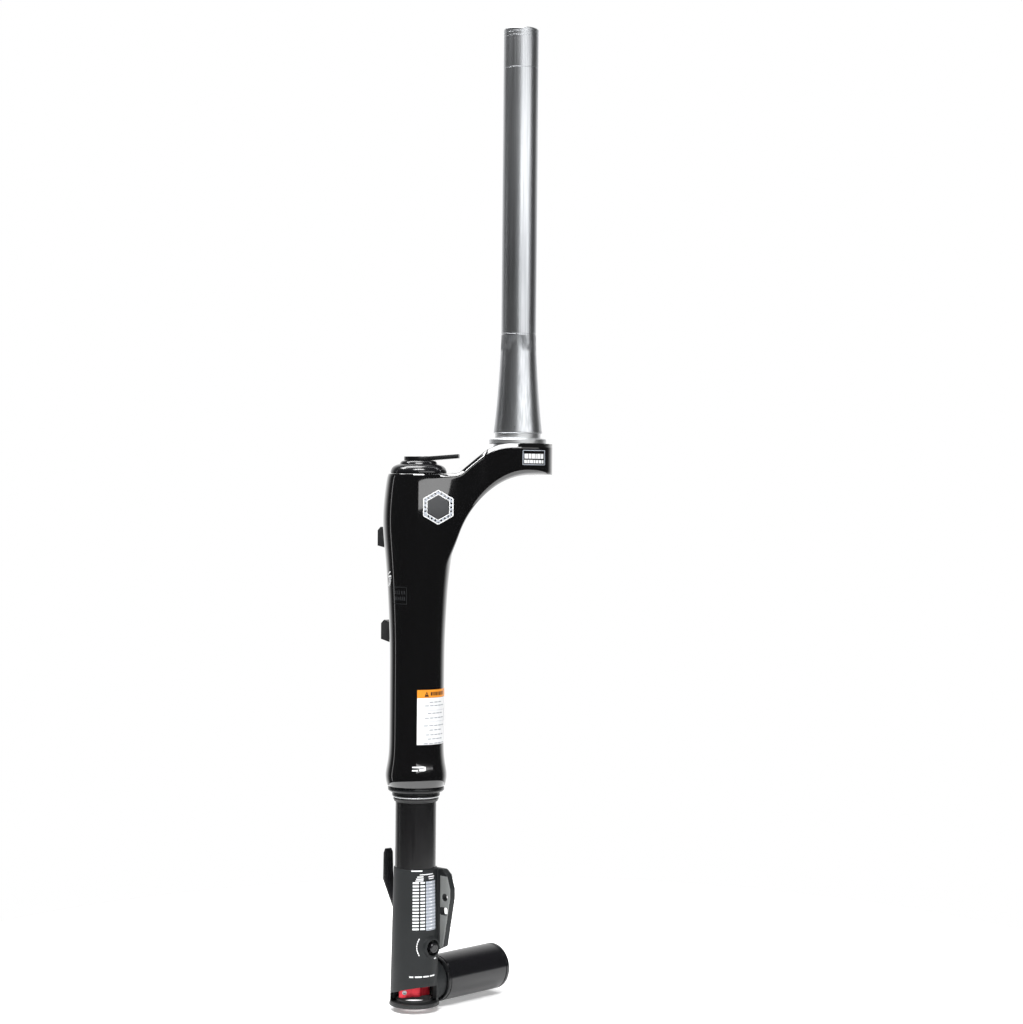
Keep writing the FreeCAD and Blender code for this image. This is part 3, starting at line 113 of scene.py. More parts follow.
def drawn_aluminium(tree, place):
    """Bright metal, softly streaked along the draw, dull where the taper starts."""
    along = add(tree, "ShaderNodeMapping", {"Vector": place, "Scale": (1, 1, 0.012)})
    lines = add(tree, "ShaderNodeTexNoise", {"Vector": along, "Scale": 900, "Detail": 3})
    drift = add(tree, "ShaderNodeMapping", {"Vector": place, "Scale": (1, 1, 0.35)})
    cloud = add(tree, "ShaderNodeTexNoise", {"Vector": drift, "Scale": 26, "Detail": 5})
    ragged = add(tree, "ShaderNodeTexNoise", {"Vector": drift, "Scale": 170, "Detail": 4})
    height = add(tree, "ShaderNodeSeparateXYZ", {0: place}).outputs["Z"]
    below = add(tree, "ShaderNodeMapRange", {0: height, 1: 0.0755, 2: 0.0785})
    above = add(tree, "ShaderNodeMapRange", {0: height, 1: 0.0886, 2: 0.0892, 3: 1, 4: 0})
    patchy = add(tree, "ShaderNodeMapRange", {0: ragged, 1: 0.38, 2: 0.62})
    band = add(tree, "ShaderNodeMath", {0: below, 1: above}, operation="MULTIPLY")
    band = add(tree, "ShaderNodeMath", {0: band, 1: patchy}, operation="MULTIPLY")
    tone = add(tree, "ShaderNodeMapRange", {0: cloud, 1: 0.35, 2: 0.7})
    metal = add(tree, "ShaderNodeMix", {0: tone, 6: linear("b4b6b9"), 7: linear("c6c8ca")},
                data_type="RGBA").outputs[2]
    streak = add(tree, "ShaderNodeMapRange", {0: lines, 1: 0.35, 2: 0.8, 4: 0.8})
    metal = add(tree, "ShaderNodeMix", {0: streak, 6: metal, 7: linear("96999c")},
                data_type="RGBA").outputs[2]
    metal = add(tree, "ShaderNodeMix", {0: band, 6: metal, 7: linear("7a7c7f")},
                data_type="RGBA").outputs[2]
    polish = add(tree, "ShaderNodeMapRange", {0: lines, 1: 0.2, 2: 0.8, 3: 0.26, 4: 0.38})
    dull = add(tree, "ShaderNodeMath", {0: band, 1: 0.25}, operation="MULTIPLY")
    rough = add(tree, "ShaderNodeMath", {0: polish, 1: dull}, operation="ADD")
    bump = add(tree, "ShaderNodeBump", {"Height": lines, "Distance": 0.012 * MM, "Strength": 0.5})
    return {"Base Color": metal, "Roughness": rough, "Normal": bump}


def turned_aluminium(tree, place):
    """Bright turned metal with fine tool rings along its length."""
    rings = add(tree, "ShaderNodeMapping", {"Vector": place, "Scale": (0.02, 0.02, 1)})
    marks = add(tree, "ShaderNodeTexNoise", {"Vector": rings, "Scale": 1400, "Detail": 2})
    colour = add(tree, "ShaderNodeMix", {0: marks, 6: linear("dfe0e1"), 7: linear("c6c8ca")},
                 data_type="RGBA").outputs[2]
    rough = add(tree, "ShaderNodeMapRange", {0: marks, 1: 0.3, 2: 0.7, 3: 0.34, 4: 0.48})
    bump = add(tree, "ShaderNodeBump", {"Height": marks, "Distance": 0.01 * MM, "Strength": 0.6})
    return {"Base Color": colour, "Roughness": rough, "Normal": bump}


def box_mm(node):
    low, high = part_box(node)
    return Vector(low) / MM, Vector(high) / MM


def middle(node):
    low, high = box_mm(node)
    return (low + high) / 2


def crease_by_angle(bm, degrees):
    """Smooth shading everywhere except across edges that turn further than an angle."""
    for face in bm.faces:
        face.smooth = True
    for edge in bm.edges:
        edge.smooth = len(edge.link_faces) != 2 or edge.calc_face_angle(0) < math.radians(degrees)


def piece(bm, name, body, material, replaced=(), degrees=32):
    """Turns a bmesh in millimetres into a finished object that rides on a body."""
    bmesh.ops.scale(bm, vec=(MM, MM, MM), verts=bm.verts)
    crease_by_angle(bm, degrees)
    mesh = bpy.data.meshes.new(name)
    bm.to_mesh(mesh)
    bm.free()
    made = bpy.data.objects.new(name, mesh)
    mesh.materials.append(material)
    bpy.context.collection.objects.link(made)
    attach(made, body)
    if replaced:
        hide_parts(*replaced)
    return made


def turned(profile, centre=(0, 0, 0), along="Z", steps=128):
    """Closed profile of radius and height pairs spun about an axis through centre."""
    bm = bmesh.new()
    ring = [bm.verts.new((radius, 0, height)) for radius, height in profile]
    edges = [bm.edges.new((ring[i - 1], ring[i])) for i in range(len(ring))]
    bmesh.ops.spin(bm, geom=ring + edges, cent=(0, 0, 0), axis=(0, 0, 1),
                   angle=FULL_TURN, steps=steps, use_merge=True)
    bmesh.ops.remove_doubles(bm, verts=bm.verts, dist=1e-4)
    bmesh.ops.dissolve_degenerate(bm, dist=1e-5, edges=bm.edges)
    loose = [edge for edge in bm.edges if not edge.link_faces]
    bmesh.ops.delete(bm, geom=loose, context="EDGES")
    bmesh.ops.recalc_face_normals(bm, faces=bm.faces)
    turns = {"Z": Matrix(), "X": Matrix.Rotation(math.pi / 2, 4, "Y"),
             "-Y": Matrix.Rotation(math.pi / 2, 4, "X")}
    place = Matrix.Translation(centre) @ turns[along]
    bmesh.ops.transform(bm, matrix=place, verts=bm.verts)
    return bm


steerer_low, steerer_high = box_mm("steerer_tube")
STEERER_RADIUS = 14.3
SHANK_RADIUS = 19.9
NECK_RADIUS = 18.8
LIP_TOP = 9.5
TAPER_TOP = 88.5
TAPER_HOLLOW = 0.9
TAPER_STEPS = 14


def ring_groove(height, depth=0.22, width=0.5):
    """Shallow turned ring in the straight part of the steerer."""
    inner = STEERER_RADIUS - depth
    return [(STEERER_RADIUS, height - width), (inner, height - width / 2),
            (inner, height + width / 2), (STEERER_RADIUS, height + width)]


steerer_outline = [(14.5, steerer_low.z), (19.4, steerer_low.z), (SHANK_RADIUS, steerer_low.z + 0.5),
                   (SHANK_RADIUS, -0.1), (NECK_RADIUS - 0.6, -0.1), (NECK_RADIUS - 0.6, LIP_TOP)]
for i in range(TAPER_STEPS + 1):
    share = i / TAPER_STEPS
    hollow = 4 * TAPER_HOLLOW * share * (1 - share)
    radius = SHANK_RADIUS + (STEERER_RADIUS - SHANK_RADIUS) * share - hollow
    steerer_outline.append((radius, LIP_TOP + (TAPER_TOP - LIP_TOP) * share))
for height in (TAPER_TOP + 1.9, 308.5, steerer_high.z - 6.4, steerer_high.z - 3.4):
    steerer_outline += ring_groove(height)
steerer_outline += [
    (STEERER_RADIUS, steerer_high.z - 1.0), (13.6, steerer_high.z - 0.15), (13.2, steerer_high.z),
    (12.1, steerer_high.z), (11.9, steerer_high.z - 0.2), (11.9, TAPER_TOP), (14.5, 55),
]
bare_metal = finish_material("drawn_aluminium", drawn_aluminium, Metallic=1.0, Anisotropic=0.3)
piece(turned(steerer_outline), "steerer", "upper", bare_metal,
      ["steerer_tube"], degrees=25)

bright_metal = finish_material("turned_aluminium", turned_aluminium, Metallic=1.0)
race_seat = [
    (NECK_RADIUS - 0.5, 0.0), (23.2, 0.0), (23.5, 0.3), (23.5, 3.3), (22.6, 4.1), (19.4, 4.1),
    (NECK_RADIUS, 4.6), (NECK_RADIUS, 8.2), (19.3, 8.6), (19.8, 8.7), (19.95, 8.9), (19.95, 9.4),
    (NECK_RADIUS - 0.5, 9.4),
]
piece(turned(race_seat), "crown_race_seat", "upper", bright_metal)


# ---------------------------------------------------------------- crown and outer tube
# One hollow aluminium forging: the leg's outer tube, swollen at the shoulder and the collar, and
# the arm that carries it to the steerer over a swept gusset.  Gloss black paint under clear
# lacquer, so it is nearly a mirror, with the slight waviness of sprayed paint.

LEG = Vector((-65.0, 50.0, 0.0))
ARM = Vector((65.0, -50.0, 0.0))
ARM_LENGTH = ARM.length
ARM_TURN = math.atan2(ARM.y, ARM.x)
COLUMNS = 24
OPEN_COLUMNS = 4
OPEN_ROWS = 7
NOSE = 29.5
BEVEL = 3.4
BORE = 18.6

# Radius and height of the tube's rings, from the rim under the cap down to the collar.
tube_rings = [
    (24.6, -25.6), (25.7, -26.9), (27.3, -38), (28.7, -52), (29.2, -66), (27.9, -82), (26.3, -98),
    (25.2, -112), (24.1, -130), (23.1, -150), (22.5, -168), (22.45, -192), (22.4, -216),
    (22.4, -238), (22.5, -252), (23.5, -261.5), (25.5, -270.5), (25.0, -276.5), (23.8, -280.6),
]
# A ring of straight segments rounds to a smaller circle once it is subdivided.
ROUNDING = (2 + math.cos(FULL_TURN / COLUMNS)) / 3

# The arm's cross-sections: reach and height of the top edge and of the bottom edge, half width.
arm_sections = [
    ((30.5, -24.6), (28.4, -87), 24.0), ((37, -19.0), (32.3, -71.5), 23.6),
    ((45, -12.2), (40, -56.5), 23.8), ((54, -5.0), (51, -42.8), 24.8),
    ((63, -1.2), (63.5, -33), 26.4), ((72, 0), (74, -28.2), 28.2), ((82, 0), (84, -25.8), NOSE),
]
for degrees in (30, 52, 70, 84):
    swing = math.radians(degrees)
    reach = ARM_LENGTH + NOSE * math.sin(swing)
    arm_sections.append(((reach, 0), (reach, -25.5), NOSE * math.cos(swing)))

side_shares = (0.0, 0.09, 0.26, 0.44, 0.6, 0.76, 0.92, 1.0)


def gusset_half_width(height):
    """The gusset narrows to a keel as it runs down into the tube."""
    share = min(max((height + 109) / 72, 0), 1)
    return 6 + 24.5 * (1 - (1 - share) ** 2.2)


def section_point(section, row, column):
    """Place of one corner of an arm section, from its row down the side and its column across."""
    top, bottom, half = section
    share = side_shares[row]
    reach = top[0] + (bottom[0] - top[0]) * share
    height = top[1] + (bottom[1] - top[1]) * share
    if row == 1:
        height = top[1] - BEVEL
    width = min(half, gusset_half_width(height))
    if row == 0:
        width = max(width - BEVEL, width * 0.3)
    elif row == OPEN_ROWS - 1:
        width *= 0.95
    elif row == OPEN_ROWS:
        width *= 0.78
    across = width * column / OPEN_COLUMNS
    return Vector((reach, across, height))


bm = bmesh.new()
row_layer = bm.verts.layers.int.new("row")
column_layer = bm.verts.layers.int.new("column")
crease_layer = bm.edges.layers.float.new("crease_edge")
profile = [bm.verts.new((radius / ROUNDING, 0, height)) for radius, height in tube_rings]
profile_edges = [bm.edges.new(pair) for pair in zip(profile, profile[1:])]
for row, vertex in enumerate(profile):
    vertex[row_layer] = row
bmesh.ops.spin(bm, geom=profile + profile_edges, cent=(0, 0, 0), axis=(0, 0, 1),
               angle=FULL_TURN, steps=COLUMNS, use_merge=True)
heights = [height for radius, height in tube_rings]
for vertex in bm.verts:
    vertex[row_layer] = min(range(len(heights)), key=lambda i: abs(heights[i] - vertex.co.z))
    turn = math.atan2(vertex.co.y, vertex.co.x)
    vertex[column_layer] = round(turn * COLUMNS / FULL_TURN)


def in_opening(vertex):
    return vertex[row_layer] <= OPEN_ROWS and abs(vertex[column_layer]) <= OPEN_COLUMNS


opening = [face for face in bm.faces if all(in_opening(v) for v in face.verts)]
inner = [v for v in bm.verts if in_opening(v) and 0 < v[row_layer] < OPEN_ROWS
         and abs(v[column_layer]) < OPEN_COLUMNS]
bmesh.ops.delete(bm, geom=opening, context="FACES_ONLY")
bmesh.ops.delete(bm, geom=inner, context="VERTS")


def on_rim(edge):
    first, second = edge.verts
    if not (in_opening(first) and in_opening(second)):
        return False
    same_row = first[row_layer] == second[row_layer]
    if same_row:
        return first[row_layer] in (0, OPEN_ROWS)
    return abs(first[column_layer]) == OPEN_COLUMNS == abs(second[column_layer])


rim = [edge for edge in bm.edges if on_rim(edge)]
for section in arm_sections:
    grown = bmesh.ops.extrude_edge_only(bm, edges=rim)["geom"]
    for vertex in (item for item in grown if isinstance(item, bmesh.types.BMVert)):
        vertex.co = section_point(section, vertex[row_layer], vertex[column_layer])
    rim = [item for item in grown if isinstance(item, bmesh.types.BMEdge)]
for vertex in {v for edge in rim for v in edge.verts}:
    vertex.co.x = ARM_LENGTH + NOSE
    vertex.co.y = 0
bmesh.ops.remove_doubles(bm, verts=bm.verts, dist=0.01)
bmesh.ops.dissolve_degenerate(bm, dist=0.001, edges=bm.edges)

# The rim turns in under the cap and the bore runs down to the collar.
top_ring = [e for e in bm.edges if len(e.link_faces) == 1 and all(v.co.z > -26 for v in e.verts)]
for radius, height in ((BORE, heights[0]), (BORE, heights[-1])):
    grown = bmesh.ops.extrude_edge_only(bm, edges=top_ring)["geom"]
    for vertex in (item for item in grown if isinstance(item, bmesh.types.BMVert)):
        flat = Vector((vertex.co.x, vertex.co.y)).normalized() * radius
        vertex.co = (flat.x, flat.y, height)
    top_ring = [item for item in grown if isinstance(item, bmesh.types.BMEdge)]
end_ring = [e for e in bm.edges if len(e.link_faces) == 1
            and all(v.co.z < heights[-1] + 0.1 for v in e.verts) and e not in top_ring]
bmesh.ops.bridge_loops(bm, edges=top_ring + end_ring)
bmesh.ops.recalc_face_normals(bm, faces=bm.faces)

for edge in bm.edges:
    rows = {v[row_layer] for v in edge.verts}
    radii = [math.hypot(v.co.x, v.co.y) for v in edge.verts]
    reach = max(v.co.x for v in edge.verts)
    if all(radius < BORE + 0.5 for radius in radii):
        edge[crease_layer] = 1.0
    elif rows == {0} or rows == {len(heights) - 1}:
        edge[crease_layer] = 0.9
    elif rows == {1} and reach > 26:
        edge[crease_layer] = 0.75
bmesh.ops.transform(bm, verts=bm.verts,
                    matrix=Matrix.Translation(LEG) @ Matrix.Rotation(ARM_TURN, 4, "Z"))


def gloss_black_paint(tree, place):
    """Deep black under lacquer, with faint spray waviness and a few hair scratches."""
    wave = add(tree, "ShaderNodeTexNoise", {"Vector": place, "Scale": 120, "Detail": 1})
    dust = add(tree, "ShaderNodeTexNoise", {"Vector": place, "Scale": 2200, "Detail": 2})
    scuffed = add(tree, "ShaderNodeMapping", {"Vector": place, "Scale": (1, 1, 0.1)})
    scuff = add(tree, "ShaderNodeTexNoise", {"Vector": scuffed, "Scale": 60, "Detail": 6})
    rough = add(tree, "ShaderNodeMapRange", {0: scuff, 1: 0.45, 2: 0.75, 3: 0.05, 4: 0.12})
    colour = add(tree, "ShaderNodeMix", {0: dust, 6: linear("060607"), 7: linear("0a0a0b")},
                 data_type="RGBA").outputs[2]
    bump = add(tree, "ShaderNodeBump", {"Height": wave, "Distance": 0.02 * MM, "Strength": 0.25})
    return {"Base Color": colour, "Roughness": rough, "Normal": bump, "Coat Normal": bump}


def modified(made, modifiers):
    """Applies modifiers to a finished object and keeps the mesh they give."""
    for kind, settings in modifiers:
        modifier = made.modifiers.new(kind.lower(), kind)
        for name, value in settings.items():
            setattr(modifier, name, value)
    bpy.context.view_layer.update()
    evaluated = made.evaluated_get(bpy.context.evaluated_depsgraph_get())
    mesh = bpy.data.meshes.new_from_object(evaluated)
    made.modifiers.clear()
    made.data = mesh
    return made


paint = finish_material("gloss_black_paint", gloss_black_paint, Coat_Weight=1.0,
                        Coat_Roughness=0.03)
crown = piece(bm, "crown_and_tube", "upper", paint,
              ["crown_and_outer_tube"], degrees=180)
socket = turned([(SHANK_RADIUS, -60), (0, -60), (0, 30), (SHANK_RADIUS, 30)])
bmesh.ops.scale(socket, vec=(MM, MM, MM), verts=socket.verts)
socket_mesh = bpy.data.meshes.new("socket_cutter")
socket.to_mesh(socket_mesh)
socket.free()
cutter = bpy.data.objects.new("socket_cutter", socket_mesh)
bpy.context.collection.objects.link(cutter)
modified(crown, [
    ("SUBSURF", {"levels": 3, "render_levels": 3}),
    ("BOOLEAN", {"operation": "DIFFERENCE", "solver": "EXACT", "object": cutter}),
])
bpy.data.objects.remove(cutter)


bm = bmesh.new()
bm.from_mesh(crown.data)
crease_by_angle(bm, 40)
bm.to_mesh(crown.data)
bm.free()
crown_surface = BVHTree.FromPolygons(
    [v.co / MM for v in crown.data.vertices], [p.vertices[:] for p in crown.data.polygons])


# ---------------------------------------------------------------- marks on the crown and the tube
# Plain printed marks under the lacquer: a boxed label on the nose, a hexagonal badge on the
# gusset, a thin outlined box and two small dashes on the tube.  No lettering, only bars.

INK_LIFT = 0.07
INK_THICKNESS = 0.05
INK_CELL = 1.6


def patch(bm, x, y, width, height, turn=0.0):
    """Adds a flat rectangle of ink, cut finely enough to bend round the piece."""
    across = max(1, round(width / INK_CELL))
    up = max(1, round(height / INK_CELL))
    place = (Matrix.Translation((x, y, 0)) @ Matrix.Rotation(turn, 4, "Z")
             @ Matrix.Diagonal((width / 2, height / 2, 1, 1)))
    bmesh.ops.create_grid(bm, x_segments=across, y_segments=up, size=1, matrix=place)


def landing(surface, start, toward):
    """A point just off the surface, tried again a hair aside if the ray slips through a seam."""
    for aside in (0, 0.05, -0.07):
        hit, facing = surface.ray_cast(start + Vector((aside, aside, aside)), toward)[:2]
        if hit:
            return hit + facing * INK_LIFT
    raise ValueError(f"no surface under the ink from {start[:]}")


def laid_round(bm, surface, bearing, radius, centre=LEG):
    """Wraps flat ink round an upright piece: x is arc length rightwards as seen from outside."""
    for vertex in bm.verts:
        turn = bearing + vertex.co.x / radius
        outward = Vector((math.cos(turn), math.sin(turn), 0))
        start = Vector((centre.x, centre.y, vertex.co.y)) + outward * 60
        vertex.co = landing(surface, start, -outward)


def laid_flat(bm, surface, centre, normal):
    """Presses flat ink onto a piece along a level direction; x runs to the viewer's right."""
    right = Vector((-normal.y, normal.x, 0))
    for vertex in bm.verts:
        start = centre + right * vertex.co.x + Vector((0, 0, vertex.co.y)) + normal * 60
        vertex.co = landing(surface, start, -normal)


def ink_piece(bm, name, body, material):
    """Gives laid ink its thickness and makes it a piece."""
    bmesh.ops.recalc_face_normals(bm, faces=bm.faces)
    bmesh.ops.solidify(bm, geom=bm.faces[:], thickness=INK_THICKNESS)
    return piece(bm, name, body, material, degrees=40)


def printed_ink(shade):
    """Screen-printed ink: flat and slightly rough, a little thin in places."""
    def dress(tree, place):
        thin = add(tree, "ShaderNodeTexNoise", {"Vector": place, "Scale": 900, "Detail": 3})
        low = tuple(0.82 * channel for channel in linear(shade)[:3]) + (1.0,)
        colour = add(tree, "ShaderNodeMix", {0: thin, 6: low, 7: linear(shade)},
                     data_type="RGBA").outputs[2]
        return {"Base Color": colour}
    return finish_material("ink_" + shade, dress, Roughness=0.35)


white_ink = printed_ink("f2f3f4")
pale_ink = printed_ink("b4bac4")
grey_ink = printed_ink("3a3b3d")
faint_ink = printed_ink("262729")

ARM_SIDE = Vector((ARM.y, -ARM.x, 0)).normalized()
along_arm = ARM.normalized()

bm = bmesh.new()
LABEL_WIDTH, LABEL_HEIGHT, RULE = 19.0, 11.6, 0.5
for y in (-LABEL_HEIGHT / 2, LABEL_HEIGHT / 2):
    patch(bm, 0, y, LABEL_WIDTH, RULE)
for x in (-LABEL_WIDTH / 2, LABEL_WIDTH / 2):
    patch(bm, x, 0, RULE, LABEL_HEIGHT)
laid_flat(bm, crown_surface, LEG + along_arm * 91.2 + Vector((0, 0, -11.6)), ARM_SIDE)
ink_piece(bm, "nose_label_frame", "upper", pale_ink)
bm = bmesh.new()
for y, height, widths in ((1.1, 3.9, (3.0, 2.4, 2.6, 1.2, 2.8, 2.2)),
                          (-3.3, 2.7, (2.2, 1.8, 2.6, 1.6, 2.0, 2.4, 1.6))):
    gap = 0.45
    x = -(sum(widths) + gap * (len(widths) - 1)) / 2
    for width in widths:
        patch(bm, x + width / 2, y, width, height)
        x += width + gap
laid_flat(bm, crown_surface, LEG + along_arm * 91.2 + Vector((0, 0, -11.6)), ARM_SIDE)
ink_piece(bm, "nose_label_bars", "upper", white_ink)


def hexagon_band(bm, corner, width, dashes=0, dash_share=1.0):
    """Adds a hexagonal outline standing on a corner, whole or cut into dashes along each side."""
    side = corner
    inset = corner * math.cos(math.pi / 6) - width / 2
    for i in range(6):
        turn = i * math.pi / 3
        outward = Vector((math.cos(turn), math.sin(turn)))
        tangent = Vector((-outward.y, outward.x))
        count = max(dashes, 1)
        length = side / count * dash_share if dashes else side - width * 0.5
        for j in range(count):
            shift = (j + 0.5) / count * side - side / 2 if dashes else 0
            spot = outward * inset + tangent * shift
            patch(bm, spot.x, spot.y, length, width, turn + math.pi / 2)


BADGE_CORNER = 14.2
badge_facing = (ARM_SIDE - 0.12 * along_arm).normalized()
badge_place = LEG + along_arm * 16.2 + Vector((0, 0, -52.6))
bm = bmesh.new()
hexagon_band(bm, BADGE_CORNER, 0.9)
hexagon_band(bm, BADGE_CORNER - 3.2, 0.7)
laid_flat(bm, crown_surface, badge_place, badge_facing)
ink_piece(bm, "badge_outlines", "upper", white_ink)
bm = bmesh.new()
hexagon_band(bm, BADGE_CORNER - 1.2, 1.7, dashes=4, dash_share=0.62)
laid_flat(bm, crown_surface, badge_place, badge_facing)
ink_piece(bm, "badge_dashes", "upper", pale_ink)
bm = bmesh.new()
bmesh.ops.create_circle(bm, cap_ends=True, segments=6, radius=BADGE_CORNER - 4.6)
bmesh.ops.triangulate(bm, faces=bm.faces)
bmesh.ops.subdivide_edges(bm, edges=bm.edges[:], cuts=5, use_grid_fill=True)
laid_flat(bm, crown_surface, badge_place, badge_facing)
ink_piece(bm, "badge_centre", "upper", grey_ink)

TO_CAMERA_SIDE = math.radians(225.6)
bm = bmesh.new()
for y in (-6.8, 6.8):
    patch(bm, 0, y, 13.0, 0.45)
for x in (-6.5, 6.5):
    patch(bm, x, 0, 0.45, 13.6)
for y, count in ((2.4, 5), (-2.4, 6)):
    for i in range(count):
        patch(bm, -4.6 + 9.2 * i / (count - 1), y, 1.2, 3.0)
bmesh.ops.translate(bm, vec=(0, -124.5, 0), verts=bm.verts)
laid_round(bm, crown_surface, TO_CAMERA_SIDE - math.radians(37), 24)
ink_piece(bm, "faint_box_mark", "upper", faint_ink)

bm = bmesh.new()
for x, y, width, height, turn in ((0.4, -106.5, 5.0, 1.0, 0.5), (0.8, -109.2, 5.0, 1.3, 0.2),
                                  (-0.4, -114, 8.5, 0.9, 1.15), (1.6, -113.6, 7.0, 0.8, 1.15)):
    patch(bm, x, y, width, height, turn)
laid_round(bm, crown_surface, TO_CAMERA_SIDE - math.radians(66), 25.2)
ink_piece(bm, "slanted_marks", "upper", white_ink)

bm = bmesh.new()
for x, y, width, height in ((-3.6, 1.0, 4.6, 1.1), (-3.6, -1.6, 4.6, 1.1), (1.6, 1.0, 5.0, 1.4),
                            (2.2, -1.3, 4.6, 1.6), (4.6, -0.2, 1.6, 3.2)):
    patch(bm, x, y - 264.4, width, height)
laid_round(bm, crown_surface, TO_CAMERA_SIDE + math.radians(6), 24.5)
ink_piece(bm, "collar_mark", "upper", white_ink)


# ---------------------------------------------------------------- notice label on the tube
# A paper label under a clear film, stuck round the right rear of the tube: an orange head with a
# dark triangle over a white field with rows of small grey bars.

LABEL_BEARING = TO_CAMERA_SIDE + math.radians(44)
LABEL_TOP, LABEL_BOTTOM, LABEL_SPAN = -200.4, -245.4, 34.0
bm = bmesh.new()
patch(bm, 0, (LABEL_TOP - 7 + LABEL_BOTTOM) / 2, LABEL_SPAN, LABEL_TOP - 7 - LABEL_BOTTOM)
laid_round(bm, crown_surface, LABEL_BEARING, 22.5)
ink_piece(bm, "label_field", "upper", white_ink)
bm = bmesh.new()
patch(bm, 0, LABEL_TOP - 3.6, LABEL_SPAN, 6.4)
laid_round(bm, crown_surface, LABEL_BEARING, 22.5)
ink_piece(bm, "label_head", "upper", printed_ink("f0982c"))


def lifted_ink(bm, name, body, material, bearing, radius, extra):
    """Ink printed on the label, a little proud of it."""
    laid_round(bm, crown_surface, bearing, radius)
    for vertex in bm.verts:
        outward = Vector((vertex.co.x - LEG.x, vertex.co.y - LEG.y, 0)).normalized()
        vertex.co += outward * extra
    ink_piece(bm, name, body, material)


bm = bmesh.new()
for i in range(5):
    width = 3.6 * (1 - i / 5)
    patch(bm, -9.0, LABEL_TOP - 5.6 + i * 0.8, width, 0.8)
for i in range(7):
    patch(bm, -4.6 + i * 2.3, LABEL_TOP - 3.7, 1.7, 2.9)
lifted_ink(bm, "label_head_marks", "upper", printed_ink("3a1d10"), LABEL_BEARING, 22.5, 0.06)
bm = bmesh.new()
label_rows = ((-10.6, 14), (-13.4, 22), (-19.6, 17), (-23.4, 22), (-29.6, 24), (-33.2, 14),
              (-37.0, 20), (-40.4, 17), (-44.0, 24))
for drop, width in label_rows:
    words = max(3, round(width / 4.4))
    for i in range(words):
        x = -width / 2 + (i + 0.5) * width / words
        patch(bm, x, LABEL_TOP + drop, width / words * 0.78, 0.75)
lifted_ink(bm, "label_bars", "upper", printed_ink("9a9ea6"), LABEL_BEARING, 22.5, 0.06)
bm = bmesh.new()
for y in (-17.2, -26.2):
    patch(bm, 0, LABEL_TOP + y, 27, 0.3)
for x in (-13.5, 13.5):
    patch(bm, x, LABEL_TOP - 21.7, 0.3, 9)
lifted_ink(bm, "label_box", "upper", printed_ink("c4c7cc"), LABEL_BEARING, 22.5, 0.06)


# ---------------------------------------------------------------- top cap
# Moulded cap that screws into the tube's mouth: a domed skirt, a step, and a shallow dished
# crown round the lockout's shaft.  Gloss black, handled often, so lightly rubbed on its edges.


def moulded_gloss(tree, place):
    """Smooth moulded plastic with a faint flow ripple and fine handling marks."""
    flow = add(tree, "ShaderNodeTexNoise", {"Vector": place, "Scale": 210, "Detail": 2})
    rub = add(tree, "ShaderNodeTexNoise", {"Vector": place, "Scale": 1300, "Detail": 5})
    rough = add(tree, "ShaderNodeMapRange", {0: rub, 1: 0.4, 2: 0.75, 3: 0.13, 4: 0.26})
    colour = add(tree, "ShaderNodeMix", {0: rub, 6: linear("0c0c0d"), 7: linear("17171a")},
                 data_type="RGBA").outputs[2]
    bump = add(tree, "ShaderNodeBump", {"Height": flow, "Distance": 0.03 * MM, "Strength": 0.4})
    return {"Base Color": colour, "Roughness": rough, "Normal": bump}


gloss_plastic = finish_material("moulded_gloss_black", moulded_gloss, IOR=1.5)
cap_low, cap_high = box_mm("top_cap")
cap_outline = [
    (2.2, cap_high.z - 1.4), (2.2, cap_low.z), (18.4, cap_low.z), (18.4, -25.4), (22.4, -25.4),
    (23.0, -24.9), (23.0, -23.9), (22.7, -22.6), (21.9, -20.9), (20.5, -19.5), (18.6, -18.5),
    (16.6, -17.9), (16.2, -17.8), (16.0, -18.3), (15.6, -18.3), (15.4, -17.6), (14.9, -16.2),
    (14.0, -15.3), (12.6, -14.8), (10.6, -14.65), (10.2, -14.9), (9.8, -15.2), (4.0, -15.3),
]
piece(turned(cap_outline, LEG), "cap", "upper", gloss_plastic, ["top_cap"],
      degrees=40)


# ---------------------------------------------------------------- lockout lever
# Forged aluminium blade, black anodised, that turns the damper's lockout.  Its hub sits on the
# cap under a button screw and the blade rises and thins towards a ribbed tip.

SHARP = 28


def from_cad(node, width, segments=3, dissolve=1.2):
    """A merged copy of a CAD solid with its sharp edges rounded to a real radius."""
    bm = bmesh.new()
    bm.from_mesh(frame["nodes"][node].data)
    bmesh.ops.scale(bm, vec=(1 / MM, 1 / MM, 1 / MM), verts=bm.verts)
    bmesh.ops.remove_doubles(bm, verts=bm.verts, dist=0.003)
    bmesh.ops.dissolve_limit(bm, angle_limit=math.radians(dissolve), verts=bm.verts, edges=bm.edges)
    sharp = [edge for edge in bm.edges if len(edge.link_faces) == 2
             and edge.calc_face_angle(0) > math.radians(SHARP)]
    bmesh.ops.bevel(bm, geom=sharp, offset=width, segments=segments, profile=0.5,
                    affect="EDGES", material=-1, clamp_overlap=True)
    bmesh.ops.remove_doubles(bm, verts=bm.verts, dist=0.003)
    return bm


